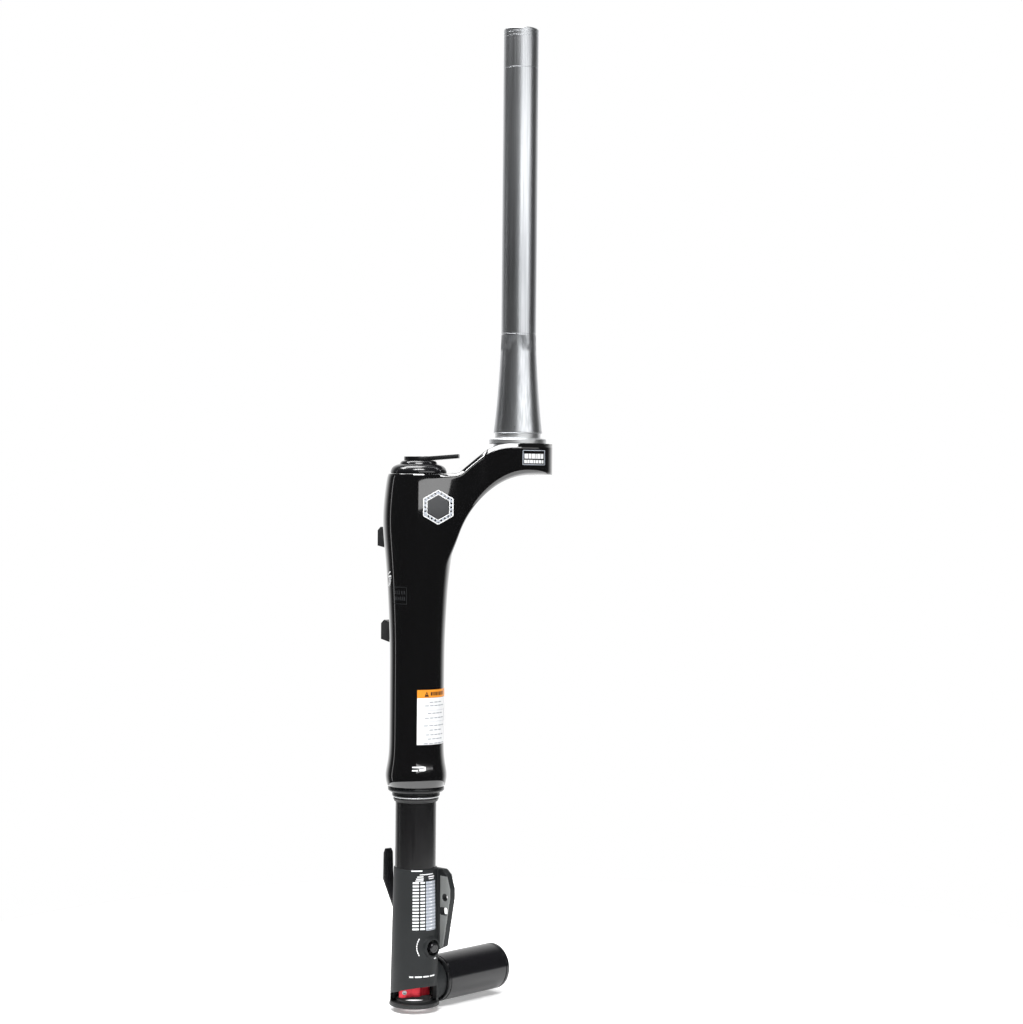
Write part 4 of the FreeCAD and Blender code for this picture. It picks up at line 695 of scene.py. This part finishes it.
def black_anodise(tree, place):
    """Dense black oxide over a blasted surface: satin, with a faint grey bloom."""
    grit = add(tree, "ShaderNodeTexNoise", {"Vector": place, "Scale": 2600, "Detail": 2})
    bloom = add(tree, "ShaderNodeTexNoise", {"Vector": place, "Scale": 90, "Detail": 4})
    colour = add(tree, "ShaderNodeMix", {0: bloom, 6: linear("101112"), 7: linear("1b1c1e")},
                 data_type="RGBA").outputs[2]
    rough = add(tree, "ShaderNodeMapRange", {0: bloom, 1: 0.35, 2: 0.7, 3: 0.24, 4: 0.36})
    bump = add(tree, "ShaderNodeBump", {"Height": grit, "Distance": 0.01 * MM, "Strength": 0.5})
    return {"Base Color": colour, "Roughness": rough, "Normal": bump}


anodised = finish_material("black_anodised_aluminium", black_anodise, Metallic=0.35)
piece(from_cad("lockout_lever", 0.7), "lever", "lockout", anodised,
      ["lockout_lever"], degrees=50)


def ground_steel(tree, place):
    """Zinc-bright hardened steel with fine grinding marks."""
    grain = add(tree, "ShaderNodeTexNoise", {"Vector": place, "Scale": 1800, "Detail": 3})
    colour = add(tree, "ShaderNodeMix", {0: grain, 6: linear("8e9093"), 7: linear("b4b6b8")},
                 data_type="RGBA").outputs[2]
    rough = add(tree, "ShaderNodeMapRange", {0: grain, 1: 0.3, 2: 0.7, 3: 0.22, 4: 0.36})
    return {"Base Color": colour, "Roughness": rough}


def button_screw(centre, radius, height, along):
    """Domed screw head with a round socket, its seat at the centre."""
    outline = [(0, 0), (radius, 0), (radius, height * 0.35), (radius * 0.93, height * 0.62),
               (radius * 0.74, height * 0.86), (radius * 0.58, height), (radius * 0.5, height),
               (radius * 0.46, height * 0.94), (radius * 0.46, height * 0.45), (0, height * 0.4)]
    return turned(outline, centre, along, steps=48)


steel = finish_material("ground_steel", ground_steel, Metallic=1.0)
screw_low, screw_high = box_mm("lockout_screw")
seat = Vector((LEG.x, LEG.y, screw_low.z))
piece(button_screw(seat, 4.0, screw_high.z - screw_low.z, "Z"), "lever_screw", "lockout",
      steel, ["lockout_screw"])


# ---------------------------------------------------------------- hose guides
# Two moulded nylon wedges on the front of the tube, each held by a button-head screw, with an
# open channel for the brake hose.  Satin black with a fine spark-eroded grain.


def grained_nylon(tree, place):
    grain = add(tree, "ShaderNodeTexVoronoi", {"Vector": place, "Scale": 2200})
    cloud = add(tree, "ShaderNodeTexNoise", {"Vector": place, "Scale": 150, "Detail": 4})
    colour = add(tree, "ShaderNodeMix", {0: cloud, 6: linear("161617"), 7: linear("232425")},
                 data_type="RGBA").outputs[2]
    rough = add(tree, "ShaderNodeMapRange", {0: cloud, 1: 0.3, 2: 0.7, 3: 0.42, 4: 0.58})
    bump = add(tree, "ShaderNodeBump", {"Height": grain, "Distance": 0.03 * MM, "Strength": 0.5})
    return {"Base Color": colour, "Roughness": rough, "Normal": bump}


nylon = finish_material("grained_nylon", grained_nylon, IOR=1.5)
for name in ("upper_hose_guide", "lower_hose_guide"):
    piece(from_cad(name, 0.6), name.replace("hose_", ""), "upper", nylon,
          [name], degrees=45)
piece(from_cad("hose_guide_screws", 0.35), "guide_screws", "upper", steel,
      ["hose_guide_screws"], degrees=45)


# ---------------------------------------------------------------- collar nut and seals
# An anodised nut that closes the tube, a seal housing under it, a bright garter ring and a
# rubber wiper with a thin lip that runs on the inner tube.


def seal_rubber(tree, place):
    bloom = add(tree, "ShaderNodeTexNoise", {"Vector": place, "Scale": 240, "Detail": 5})
    colour = add(tree, "ShaderNodeMix", {0: bloom, 6: linear("121212"), 7: linear("242425")},
                 data_type="RGBA").outputs[2]
    rough = add(tree, "ShaderNodeMapRange", {0: bloom, 1: 0.35, 2: 0.7, 3: 0.45, 4: 0.62})
    return {"Base Color": colour, "Roughness": rough}


rubber = finish_material("nitrile_rubber", seal_rubber)
WALL = 17.05
nut_low, nut_high = box_mm("collar_nut")
collar = [
    (WALL, nut_low.z), (21.0, nut_low.z), (22.2, nut_low.z + 0.4), (22.9, nut_low.z + 1.3),
    (23.0, nut_low.z + 1.9), (23.0, -282.2), (22.8, -281.8), (22.2, -281.6), (22.2, -281.2),
    (18.5, -281.2), (18.5, nut_high.z), (WALL, nut_high.z),
]
piece(turned(collar, LEG), "collar", "upper", anodised, ["collar_nut"])
housing_low, housing_high = box_mm("seal_housing")
housing = [
    (WALL, housing_low.z), (19.2, housing_low.z), (19.6, housing_low.z + 0.4),
    (19.6, housing_low.z + 1.5), (19.3, housing_low.z + 1.7), (19.3, housing_low.z + 2.1),
    (19.7, housing_low.z + 2.3), (19.7, housing_high.z), (WALL, housing_high.z),
]
piece(turned(housing, LEG), "seal_holder", "upper", anodised, ["seal_housing"])
garter_low, garter_high = box_mm("garter_ring")
garter_middle = (garter_low.z + garter_high.z) / 2
garter = [(18.5, garter_low.z), (19.0, garter_low.z), (19.3, garter_middle),
          (19.0, garter_high.z), (18.5, garter_high.z)]
piece(turned(garter, LEG), "garter", "upper", bright_metal, ["garter_ring"])
wiper_low, wiper_high = box_mm("wiper_seal")
wiper = [
    (16.75, wiper_low.z), (17.6, wiper_low.z), (18.2, wiper_low.z + 0.4), (18.5, wiper_low.z + 1.0),
    (18.5, wiper_low.z + 1.8), (18.1, wiper_low.z + 2.1), (18.1, wiper_low.z + 2.5),
    (18.5, wiper_low.z + 2.8), (18.5, wiper_high.z), (16.75, wiper_high.z),
]
piece(turned(wiper, LEG), "wiper", "upper", rubber, ["wiper_seal"])
lip_low, lip_high = box_mm("wiper_lip")
lip = [(16.72, lip_low.z), (17.0, lip_low.z), (17.7, lip_low.z + 0.35), (17.9, lip_high.z),
       (16.75, lip_high.z)]
piece(turned(lip, LEG), "wiper_edge", "upper", rubber, ["wiper_lip"])


# ---------------------------------------------------------------- inner tube
# Ground and hard-anodised sliding tube: round where it shows, with three flats above the collar
# for the needle bearings' races, and open at both ends.


def hard_anodise(tree, place):
    """Near-black oxide ground to a satin polish, with fine lengthwise lines."""
    along = add(tree, "ShaderNodeMapping", {"Vector": place, "Scale": (1, 1, 0.02)})
    lines = add(tree, "ShaderNodeTexNoise", {"Vector": along, "Scale": 1500, "Detail": 3})
    colour = add(tree, "ShaderNodeMix", {0: lines, 6: linear("0c0c0d"), 7: linear("151516")},
                 data_type="RGBA").outputs[2]
    rough = add(tree, "ShaderNodeMapRange", {0: lines, 1: 0.3, 2: 0.7, 3: 0.16, 4: 0.24})
    bump = add(tree, "ShaderNodeBump", {"Height": lines, "Distance": 0.006 * MM, "Strength": 0.5})
    return {"Base Color": colour, "Roughness": rough, "Normal": bump}


INNER_RADIUS = 16.7
FLAT_DISTANCE = 15.2
tube_low, tube_high = box_mm("inner_tube")
flat_low = box_mm("inner_race_strips")[0].z
tube_outline = [
    (13.8, tube_low.z), (16.4, tube_low.z), (INNER_RADIUS, tube_low.z + 0.3),
    (INNER_RADIUS, flat_low - 0.05), (INNER_RADIUS, flat_low), (INNER_RADIUS, tube_high.z - 0.3),
    (16.4, tube_high.z), (13.8, tube_high.z),
]
bm = turned(tube_outline, LEG, steps=144)
for i in range(3):
    turn = math.radians(90 + 120 * i)
    outward = Vector((math.cos(turn), math.sin(turn), 0))
    for vertex in bm.verts:
        beyond = (vertex.co - LEG).dot(outward) - FLAT_DISTANCE
        if vertex.co.z > flat_low - 0.02 and beyond > 0:
            vertex.co -= outward * beyond
hard_anodised = finish_material("hard_anodised_tube", hard_anodise, IOR=1.5)
piece(bm, "sliding_tube", "lower_leg", hard_anodised, ["inner_tube"])


# ---------------------------------------------------------------- foot casting
# Die-cast aluminium foot that clamps the inner tube, holds the stub spindle and carries the
# brake mount, a flat machined fin behind it.  Powder coated in matte dark grey.

CASTING_GRID = 0.62


def powder_coat(tree, place):
    """Matte dark grey with the fine pebble of powder paint; the fin's milled face is paler, partly as
    bare milled metal and partly as a painted sheen of the light it catches.
    """
    pebble = add(tree, "ShaderNodeTexNoise", {"Vector": place, "Scale": 1100, "Detail": 4})
    cloud = add(tree, "ShaderNodeTexNoise", {"Vector": place, "Scale": 55, "Detail": 5})
    coat = add(tree, "ShaderNodeMix", {0: cloud, 6: linear("1c1e1f"), 7: linear("242627")},
               data_type="RGBA").outputs[2]
    spot = add(tree, "ShaderNodeSeparateXYZ", {0: place})
    left = (LEG.x + FIN_FACE - 0.35) * MM
    # Mask of the fin's milled face, which is painted paler: its bare metal and a painted sheen of
    # light.
    milled_face_and_sheen = add(tree, "ShaderNodeMath", {0: spot, 1: left + 0.35 * MM, 2: 0.32 * MM},
                 operation="COMPARE")
    behind = add(tree, "ShaderNodeMath", {0: spot.outputs["Y"], 1: (LEG.y - 17.0) * MM},
                 operation="LESS_THAN")
    under = add(tree, "ShaderNodeMath", {0: spot.outputs["Z"], 1: (FIN_TOP - 5.5) * MM},
                operation="LESS_THAN")
    face = add(tree, "ShaderNodeMath", {0: milled_face_and_sheen, 1: behind}, operation="MULTIPLY")
    face = add(tree, "ShaderNodeMath", {0: face, 1: under}, operation="MULTIPLY")
    # The paler grey on the milled face is partly its bare metal and partly a painted highlight.
    colour = add(tree, "ShaderNodeMix", {0: face, 6: coat, 7: linear("7d7f7e")},
                 data_type="RGBA").outputs[2]
    rough = add(tree, "ShaderNodeMapRange", {0: pebble, 1: 0.3, 2: 0.7, 3: 0.46, 4: 0.6})
    bump = add(tree, "ShaderNodeBump", {"Height": pebble, "Distance": 0.05 * MM, "Strength": 0.35})
    return {"Base Color": colour, "Roughness": rough, "Normal": bump}


FIN_FACE = 12.0
foot_low, foot_high = box_mm("foot_casting")
FIN_TOP = foot_high.z - 1.6


def merged_copy(node):
    bm = bmesh.new()
    bm.from_mesh(frame["nodes"][node].data)
    bmesh.ops.scale(bm, vec=(1 / MM, 1 / MM, 1 / MM), verts=bm.verts)
    bmesh.ops.remove_doubles(bm, verts=bm.verts, dist=0.003)
    return bm


powder = finish_material("powder_coated_casting", powder_coat, Specular_IOR_Level=0.22)
casting = piece(merged_copy("foot_casting"), "casting", "lower_leg", powder,
                ["foot_casting"], degrees=60)
modified(casting, [
    ("REMESH", {"mode": "VOXEL", "voxel_size": CASTING_GRID * MM, "use_smooth_shade": True}),
    ("SMOOTH", {"factor": 0.5, "iterations": 6}),
])
casting_surface = BVHTree.FromPolygons(
    [v.co / MM for v in casting.data.vertices], [p.vertices[:] for p in casting.data.polygons])


# ---------------------------------------------------------------- marks on the casting
# A setup table printed on the back of the foot: a header, two narrow columns of white bars and a
# wide paler one, with an arc and a dash by the valve and a broken line over the knob's window.

CASTING_RADIUS = 18.4
TABLE_BEARING = TO_CAMERA_SIDE + math.radians(31)
TABLE_TOP, TABLE_BOTTOM, TABLE_ROWS = -358.3, -395.8, 15
white_bars = bmesh.new()
pale_bars = bmesh.new()
for x, y, width, height in ((0.6, 6.6, 13.5, 0.75), (-5.6, 4.9, 5.4, 0.9), (5.4, 4.5, 7.0, 0.9),
                            (-6.0, 3.2, 6.4, 1.0), (-6.4, 1.7, 6.8, 0.8), (5.2, 2.9, 6.0, 0.7)):
    patch(white_bars, x, TABLE_TOP + y, width, height)
pitch = (TABLE_TOP - TABLE_BOTTOM) / (TABLE_ROWS - 1)
for i in range(TABLE_ROWS):
    y = TABLE_TOP - i * pitch
    patch(white_bars, -9.4, y, 5.2, 1.5)
    patch(white_bars, -3.6, y, 3.9, 1.5)
    patch(pale_bars, 4.8, y, 11.0, 1.7)
    patch(white_bars, 4.4 + 0.6 * math.sin(i * 2.1), y, 2.6, 0.8)
    patch(pale_bars, 4.8, y - pitch / 2, 10.4, 0.5)
for bars, name, ink in ((white_bars, "table_bars", white_ink), (pale_bars, "table_tints", pale_ink)):
    laid_round(bars, casting_surface, TABLE_BEARING, CASTING_RADIUS)
    ink_piece(bars, name, "lower_leg", ink)

bm = bmesh.new()
patch(bm, -8.6, -348.6, 9.5, 0.9)
for x, width in ((-12.4, 3.0), (-6.8, 5.6), (-0.6, 4.8), (5.4, 5.2)):
    patch(bm, x, -434.6, width, 1.1)
for i in range(8):
    turn = math.radians(150 + i * 60 / 7)
    patch(bm, 4.3 + 12.6 * math.cos(turn), -410.5 + 12.6 * math.sin(turn), 1.5, 0.8,
          turn + math.pi / 2)
patch(bm, 9.4, -421.2, 3.4, 0.9)
laid_round(bm, casting_surface, TABLE_BEARING, CASTING_RADIUS)
ink_piece(bm, "foot_marks", "lower_leg", white_ink)


# ---------------------------------------------------------------- guard, horn and their screw
# A black moulded ring clips round the open bottom of the foot, and its black partly stands in as a
# painted shadow on the foot's downward-facing bottom edge.
# On its front stands a curled horn that keeps the brake hose off the rotor, screwed to the casting.

guard_low, guard_high = box_mm("bottom_guard")
guard = [
    (14.1, guard_low.z + 0.3), (14.4, guard_low.z), (20.1, guard_low.z), (20.6, guard_low.z + 0.3),
    (20.65, guard_low.z + 0.8), (20.1, foot_low.z - 0.1), (19.9, foot_low.z), (15.25, foot_low.z),
    (15.25, guard_high.z - 0.3), (15.0, guard_high.z), (14.3, guard_high.z), (14.1, guard_high.z - 0.2),
]
# This black ring is partly a painted shadow: it darkens the foot's bottom edge, where shade falls.
piece(turned(guard, LEG), "guard_ring_and_shade", "lower_leg", nylon, ["bottom_guard"])
bm = from_cad("hose_horn", 1.5, 4)
horn_low, horn_high = box_mm("hose_horn")
HORN_WAIST = horn_high.z - 42
for vertex in bm.verts:
    share = min(1, max(0, (vertex.co.z - HORN_WAIST) / 22))
    slim = 1 - 0.38 * share * share * (3 - 2 * share)
    vertex.co.x = LEG.x + (vertex.co.x - LEG.x) * slim
    vertex.co.y = horn_high.y + (vertex.co.y - horn_high.y) * slim
piece(bm, "horn", "lower_leg", gloss_plastic,
      ["hose_horn"], degrees=60)
piece(from_cad("hose_horn_screw", 0.3), "horn_screw", "lower_leg", steel,
      ["hose_horn_screw"], degrees=45)


# ---------------------------------------------------------------- air valve
# Brass-cored valve in a dished boss on the back of the foot, under a screwed plastic cap with
# fine grips round it.  The pin inside the body is pressed to let air out.

valve_axis = Vector((LEG.x, 0, middle("valve_cap").z))
cap_back, cap_front = box_mm("valve_cap")
valve_place = Vector((valve_axis.x, cap_front.y, valve_axis.z))
cap_span = cap_front.y - cap_back.y
CAP_RADIUS = 4.3
cap_profile = [(2.65, 0), (CAP_RADIUS - 0.1, 0), (CAP_RADIUS, 0.3), (CAP_RADIUS, cap_span - 1.2),
               (CAP_RADIUS - 0.3, cap_span - 0.5), (CAP_RADIUS - 1.0, cap_span),
               (2.4, cap_span), (2.2, cap_span - 0.3), (0, cap_span - 0.3), (0, cap_span - 1.0),
               (2.65, cap_span - 1.0)]
bm = turned(cap_profile, valve_place, "-Y", steps=96)
for vertex in bm.verts:
    spoke = Vector((vertex.co.x - valve_place.x, 0, vertex.co.z - valve_place.z))
    along = valve_place.y - vertex.co.y
    if spoke.length > CAP_RADIUS - 0.05 and 0.5 < along < cap_span - 0.5:
        vertex.co -= spoke.normalized() * 0.12
piece(bm, "valve_dust_cap", "valve_cap_body", gloss_plastic, ["valve_cap"],
      degrees=45)


# ---------------------------------------------------------------- spindle, ring and cover
# The stub spindle is turned from aluminium bar and pressed into the foot behind an anodised
# ring.  A gloss moulded sleeve with a flanged end slips over it while no wheel is fitted.

spindle_place = Vector((LEG.x, LEG.y, middle("cover_tube").z))
ring_low, ring_high = box_mm("spindle_root_ring")
sleeve_low, sleeve_high = box_mm("cover_tube")
end_low, end_high = box_mm("cover_end_cap")
root = [(12.0, ring_low.x), (18.2, ring_low.x), (18.8, ring_low.x + 0.3), (19.0, ring_low.x + 0.9),
        (19.0, ring_high.x - 0.9), (18.8, ring_high.x - 0.3), (18.3, ring_high.x), (12.0, ring_high.x)]
sleeve = [(18.0, sleeve_low.x), (18.9, sleeve_low.x), (19.2, sleeve_low.x + 0.3),
          (19.2, sleeve_high.x - 0.2), (19.0, sleeve_high.x), (18.0, sleeve_high.x)]
end_cap = [(0, end_low.x + 2.5), (18.0, end_low.x + 2.5), (18.0, end_low.x), (18.7, end_low.x),
           (18.7, end_low.x + 0.8), (19.1, end_low.x + 0.9), (19.2, end_low.x + 1.2),
           (19.2, end_high.x - 1.1), (18.9, end_high.x - 0.4), (18.2, end_high.x),
           (15.5, end_high.x), (15.2, end_high.x - 0.5), (0, end_high.x - 0.5)]
for outline, name, body, slot, material, node in (
    (root, "root_ring", "lower_leg", "black_anodised", anodised, "spindle_root_ring"),
    (sleeve, "sleeve", "spindle_cover", "gloss_plastic", gloss_plastic, "cover_tube"),
    (end_cap, "sleeve_end", "spindle_cover", "gloss_plastic", gloss_plastic, "cover_end_cap"),
):
    shifted = [(radius, reach - LEG.x) for radius, reach in outline]
    piece(turned(shifted, spindle_place, "X"), name, body, material, [node])


# ---------------------------------------------------------------- rebound knob
# A two-armed knob turned and milled from aluminium, anodised red, reached through the window in
# the foot.  A small steel screw in one arm holds it on the rod.


def red_anodise(tree, place):
    """Dyed oxide: deep red, a touch uneven, satin where the cutter left fine lines."""
    rows = add(tree, "ShaderNodeMapping", {"Vector": place, "Scale": (0.05, 0.05, 1)})
    lines = add(tree, "ShaderNodeTexNoise", {"Vector": rows, "Scale": 1600, "Detail": 2})
    cloud = add(tree, "ShaderNodeTexNoise", {"Vector": place, "Scale": 180, "Detail": 3})
    colour = add(tree, "ShaderNodeMix", {0: cloud, 6: linear("b41426"), 7: linear("d93442")},
                 data_type="RGBA").outputs[2]
    rough = add(tree, "ShaderNodeMapRange", {0: lines, 1: 0.3, 2: 0.7, 3: 0.26, 4: 0.4})
    bump = add(tree, "ShaderNodeBump", {"Height": lines, "Distance": 0.02 * MM, "Strength": 0.5})
    return {"Base Color": colour, "Roughness": rough, "Normal": bump}


red = finish_material("red_anodised_aluminium", red_anodise, Metallic=0.5)
piece(from_cad("rebound_knob", 0.8), "knob", "rebound_knob_body", red,
      ["rebound_knob"], degrees=45)
piece(from_cad("knob_set_screw", 0.2), "knob_screw", "rebound_knob_body", steel,
      ["knob_set_screw"], degrees=45)


# ---------------------------------------------------------------- pieces inside
# The bearings, the damper cartridge, the air spring and the rods keep their own solids and only
# take a finish: ground steel, turned aluminium, moulded nylon, filled polymer and elastomer.


def cream_elastomer(tree, place):
    pores = add(tree, "ShaderNodeTexVoronoi", {"Vector": place, "Scale": 1400})
    colour = add(tree, "ShaderNodeMix", {0: pores, 6: linear("b9b0a0"), 7: linear("9d9484")},
                 data_type="RGBA").outputs[2]
    bump = add(tree, "ShaderNodeBump", {"Height": pores, "Distance": 0.08 * MM, "Strength": 0.6})
    return {"Base Color": colour, "Normal": bump}


def filled_polymer(tree, place):
    specks = add(tree, "ShaderNodeTexNoise", {"Vector": place, "Scale": 1900, "Detail": 4})
    colour = add(tree, "ShaderNodeMix", {0: specks, 6: linear("31536f"), 7: linear("5b7f9b")},
                 data_type="RGBA").outputs[2]
    return {"Base Color": colour}


def natural_nylon(tree, place):
    cloud = add(tree, "ShaderNodeTexNoise", {"Vector": place, "Scale": 400, "Detail": 4})
    colour = add(tree, "ShaderNodeMix", {0: cloud, 6: linear("c4b48f"), 7: linear("d8caa8")},
                 data_type="RGBA").outputs[2]
    return {"Base Color": colour}


elastomer = finish_material("polyurethane_elastomer", cream_elastomer, Roughness=0.7)
polymer = finish_material("filled_bearing_polymer", filled_polymer, Roughness=0.45)
cage_nylon = finish_material("natural_nylon", natural_nylon, Roughness=0.5)
finishes = {"steerer_aluminium": bare_metal, "gloss_black_paint": paint, "hard_steel": steel,
            "black_anodised": anodised, "casting_black": powder, "turned_aluminium": bright_metal,
            "black_plastic": nylon, "gloss_plastic": gloss_plastic, "seal_rubber": rubber,
            "bumper_foam": elastomer, "red_anodised": red, "cage_nylon": cage_nylon,
            "glide_polymer": polymer}
for subpart in frame["record"]["subparts"]:
    node = frame["nodes"][subpart["node"]]
    for slot in node.material_slots:
        slot.material = finishes[subpart["material_slot"]]

# ---------------------------------------------------------------- studio
# A pale round of paper to stand on, a bright white surround on the far side and a dimmer one
# on the near side, so that black gloss stays black and its edges catch the light.

FLOOR = cad_box[0][2] - 0.003


def pale_paper(tree, place):
    grain = add(tree, "ShaderNodeTexNoise", {"Vector": place, "Scale": 300, "Detail": 3})
    colour = add(tree, "ShaderNodeMix", {0: grain, 6: linear("f4f4f4"), 7: linear("f8f8f8")},
                 data_type="RGBA").outputs[2]
    return {"Base Color": colour}


bm = bmesh.new()
bmesh.ops.create_circle(bm, cap_ends=True, segments=96, radius=0.6)
bmesh.ops.translate(bm, vec=(0, 0, FLOOR), verts=bm.verts)
floor_mesh = bpy.data.meshes.new("floor")
bm.to_mesh(floor_mesh)
bm.free()
floor = bpy.data.objects.new("floor", floor_mesh)
floor_mesh.materials.append(finish_material("pale_paper", pale_paper, Roughness=0.9,
                                            Emission_Color=linear("ffffff"),
                                            Emission_Strength=0.25))
bpy.context.collection.objects.link(floor)

VIEW_BEARING = math.radians(46.85)
FORWARD = Vector((math.sin(VIEW_BEARING), math.cos(VIEW_BEARING), 0))

world = bpy.data.worlds.new("studio")
bpy.context.scene.world = world
world.use_nodes = True
tree = world.node_tree
tree.nodes.clear()
direction = add(tree, "ShaderNodeTexCoord").outputs["Generated"]
along = add(tree, "ShaderNodeVectorMath", {0: direction, 1: FORWARD}, operation="DOT_PRODUCT")
glow = add(tree, "ShaderNodeMapRange", {0: along.outputs["Value"], 1: 0.4, 2: 0.85, 3: 0.05, 4: 1.15},
           interpolation_type="SMOOTHSTEP")
seen = add(tree, "ShaderNodeLightPath").outputs["Is Camera Ray"]
shown = add(tree, "ShaderNodeMix", {0: seen, 2: glow, 3: 1.0}, data_type="FLOAT")
surround = add(tree, "ShaderNodeBackground", {"Color": linear("ffffff"), "Strength": shown})
add(tree, "ShaderNodeOutputWorld", {"Surface": surround})


def softbox(name, place, aim, width, height, power):
    """Area light at a place, turned towards a point."""
    light = bpy.data.lights.new(name, "AREA")
    light.shape = "RECTANGLE"
    light.size = width
    light.size_y = height
    light.energy = power
    lamp = bpy.data.objects.new(name, light)
    lamp.location = place
    lamp.rotation_euler = (Vector(aim) - Vector(place)).to_track_quat("-Z", "Y").to_euler()
    bpy.context.collection.objects.link(lamp)


RIGHT = Vector((FORWARD.y, -FORWARD.x, 0))
KEY_SWING = math.radians(35)
key_direction = RIGHT * math.sin(KEY_SWING) - FORWARD * math.cos(KEY_SWING)
softbox("key", key_direction * 2.2 + Vector((0, 0, 0.5)), (0, 0, 0.5), 3.0, 0.6, 18)
LEFT_SWING = math.radians(-100)
strip_direction = RIGHT * math.sin(LEFT_SWING) - FORWARD * math.cos(LEFT_SWING)
softbox("left_strip", LEG * MM + strip_direction * 1.2 + Vector((0, 0, -0.1)),
        LEG * MM + Vector((0, 0, -0.1)), 0.05, 1.1, 0.35)
softbox("front_high", -FORWARD * 1.5 + Vector((0, 0, 1.6)), (-0.03, 0.02, -0.2), 1.4, 0.5, 60)
softbox("upper_left", LEG * MM - RIGHT * 0.96 + Vector((0, 0, 1.15)), LEG * MM, 0.42, 0.42, 14)
softbox("overhead", (-0.2, 0.3, 1.6), (0, 0, -0.2), 1.1, 1.1, 45)

camera = bpy.data.cameras.new("camera")
camera.lens = 76.94
camera.sensor_width = 36
camera_object = bpy.data.objects.new("camera", camera)
camera_object.matrix_world = (
    Matrix.Translation((-1.321, -1.232, -0.0377))
    @ Matrix.Rotation(-VIEW_BEARING, 4, "Z")
    @ Matrix.Rotation(math.radians(90 - 0.59), 4, "X")
    @ Matrix.Rotation(math.radians(0.51), 4, "Z")
)
bpy.context.collection.objects.link(camera_object)
bpy.context.scene.camera = camera_object
bpy.context.scene.view_settings.view_transform = "Standard"
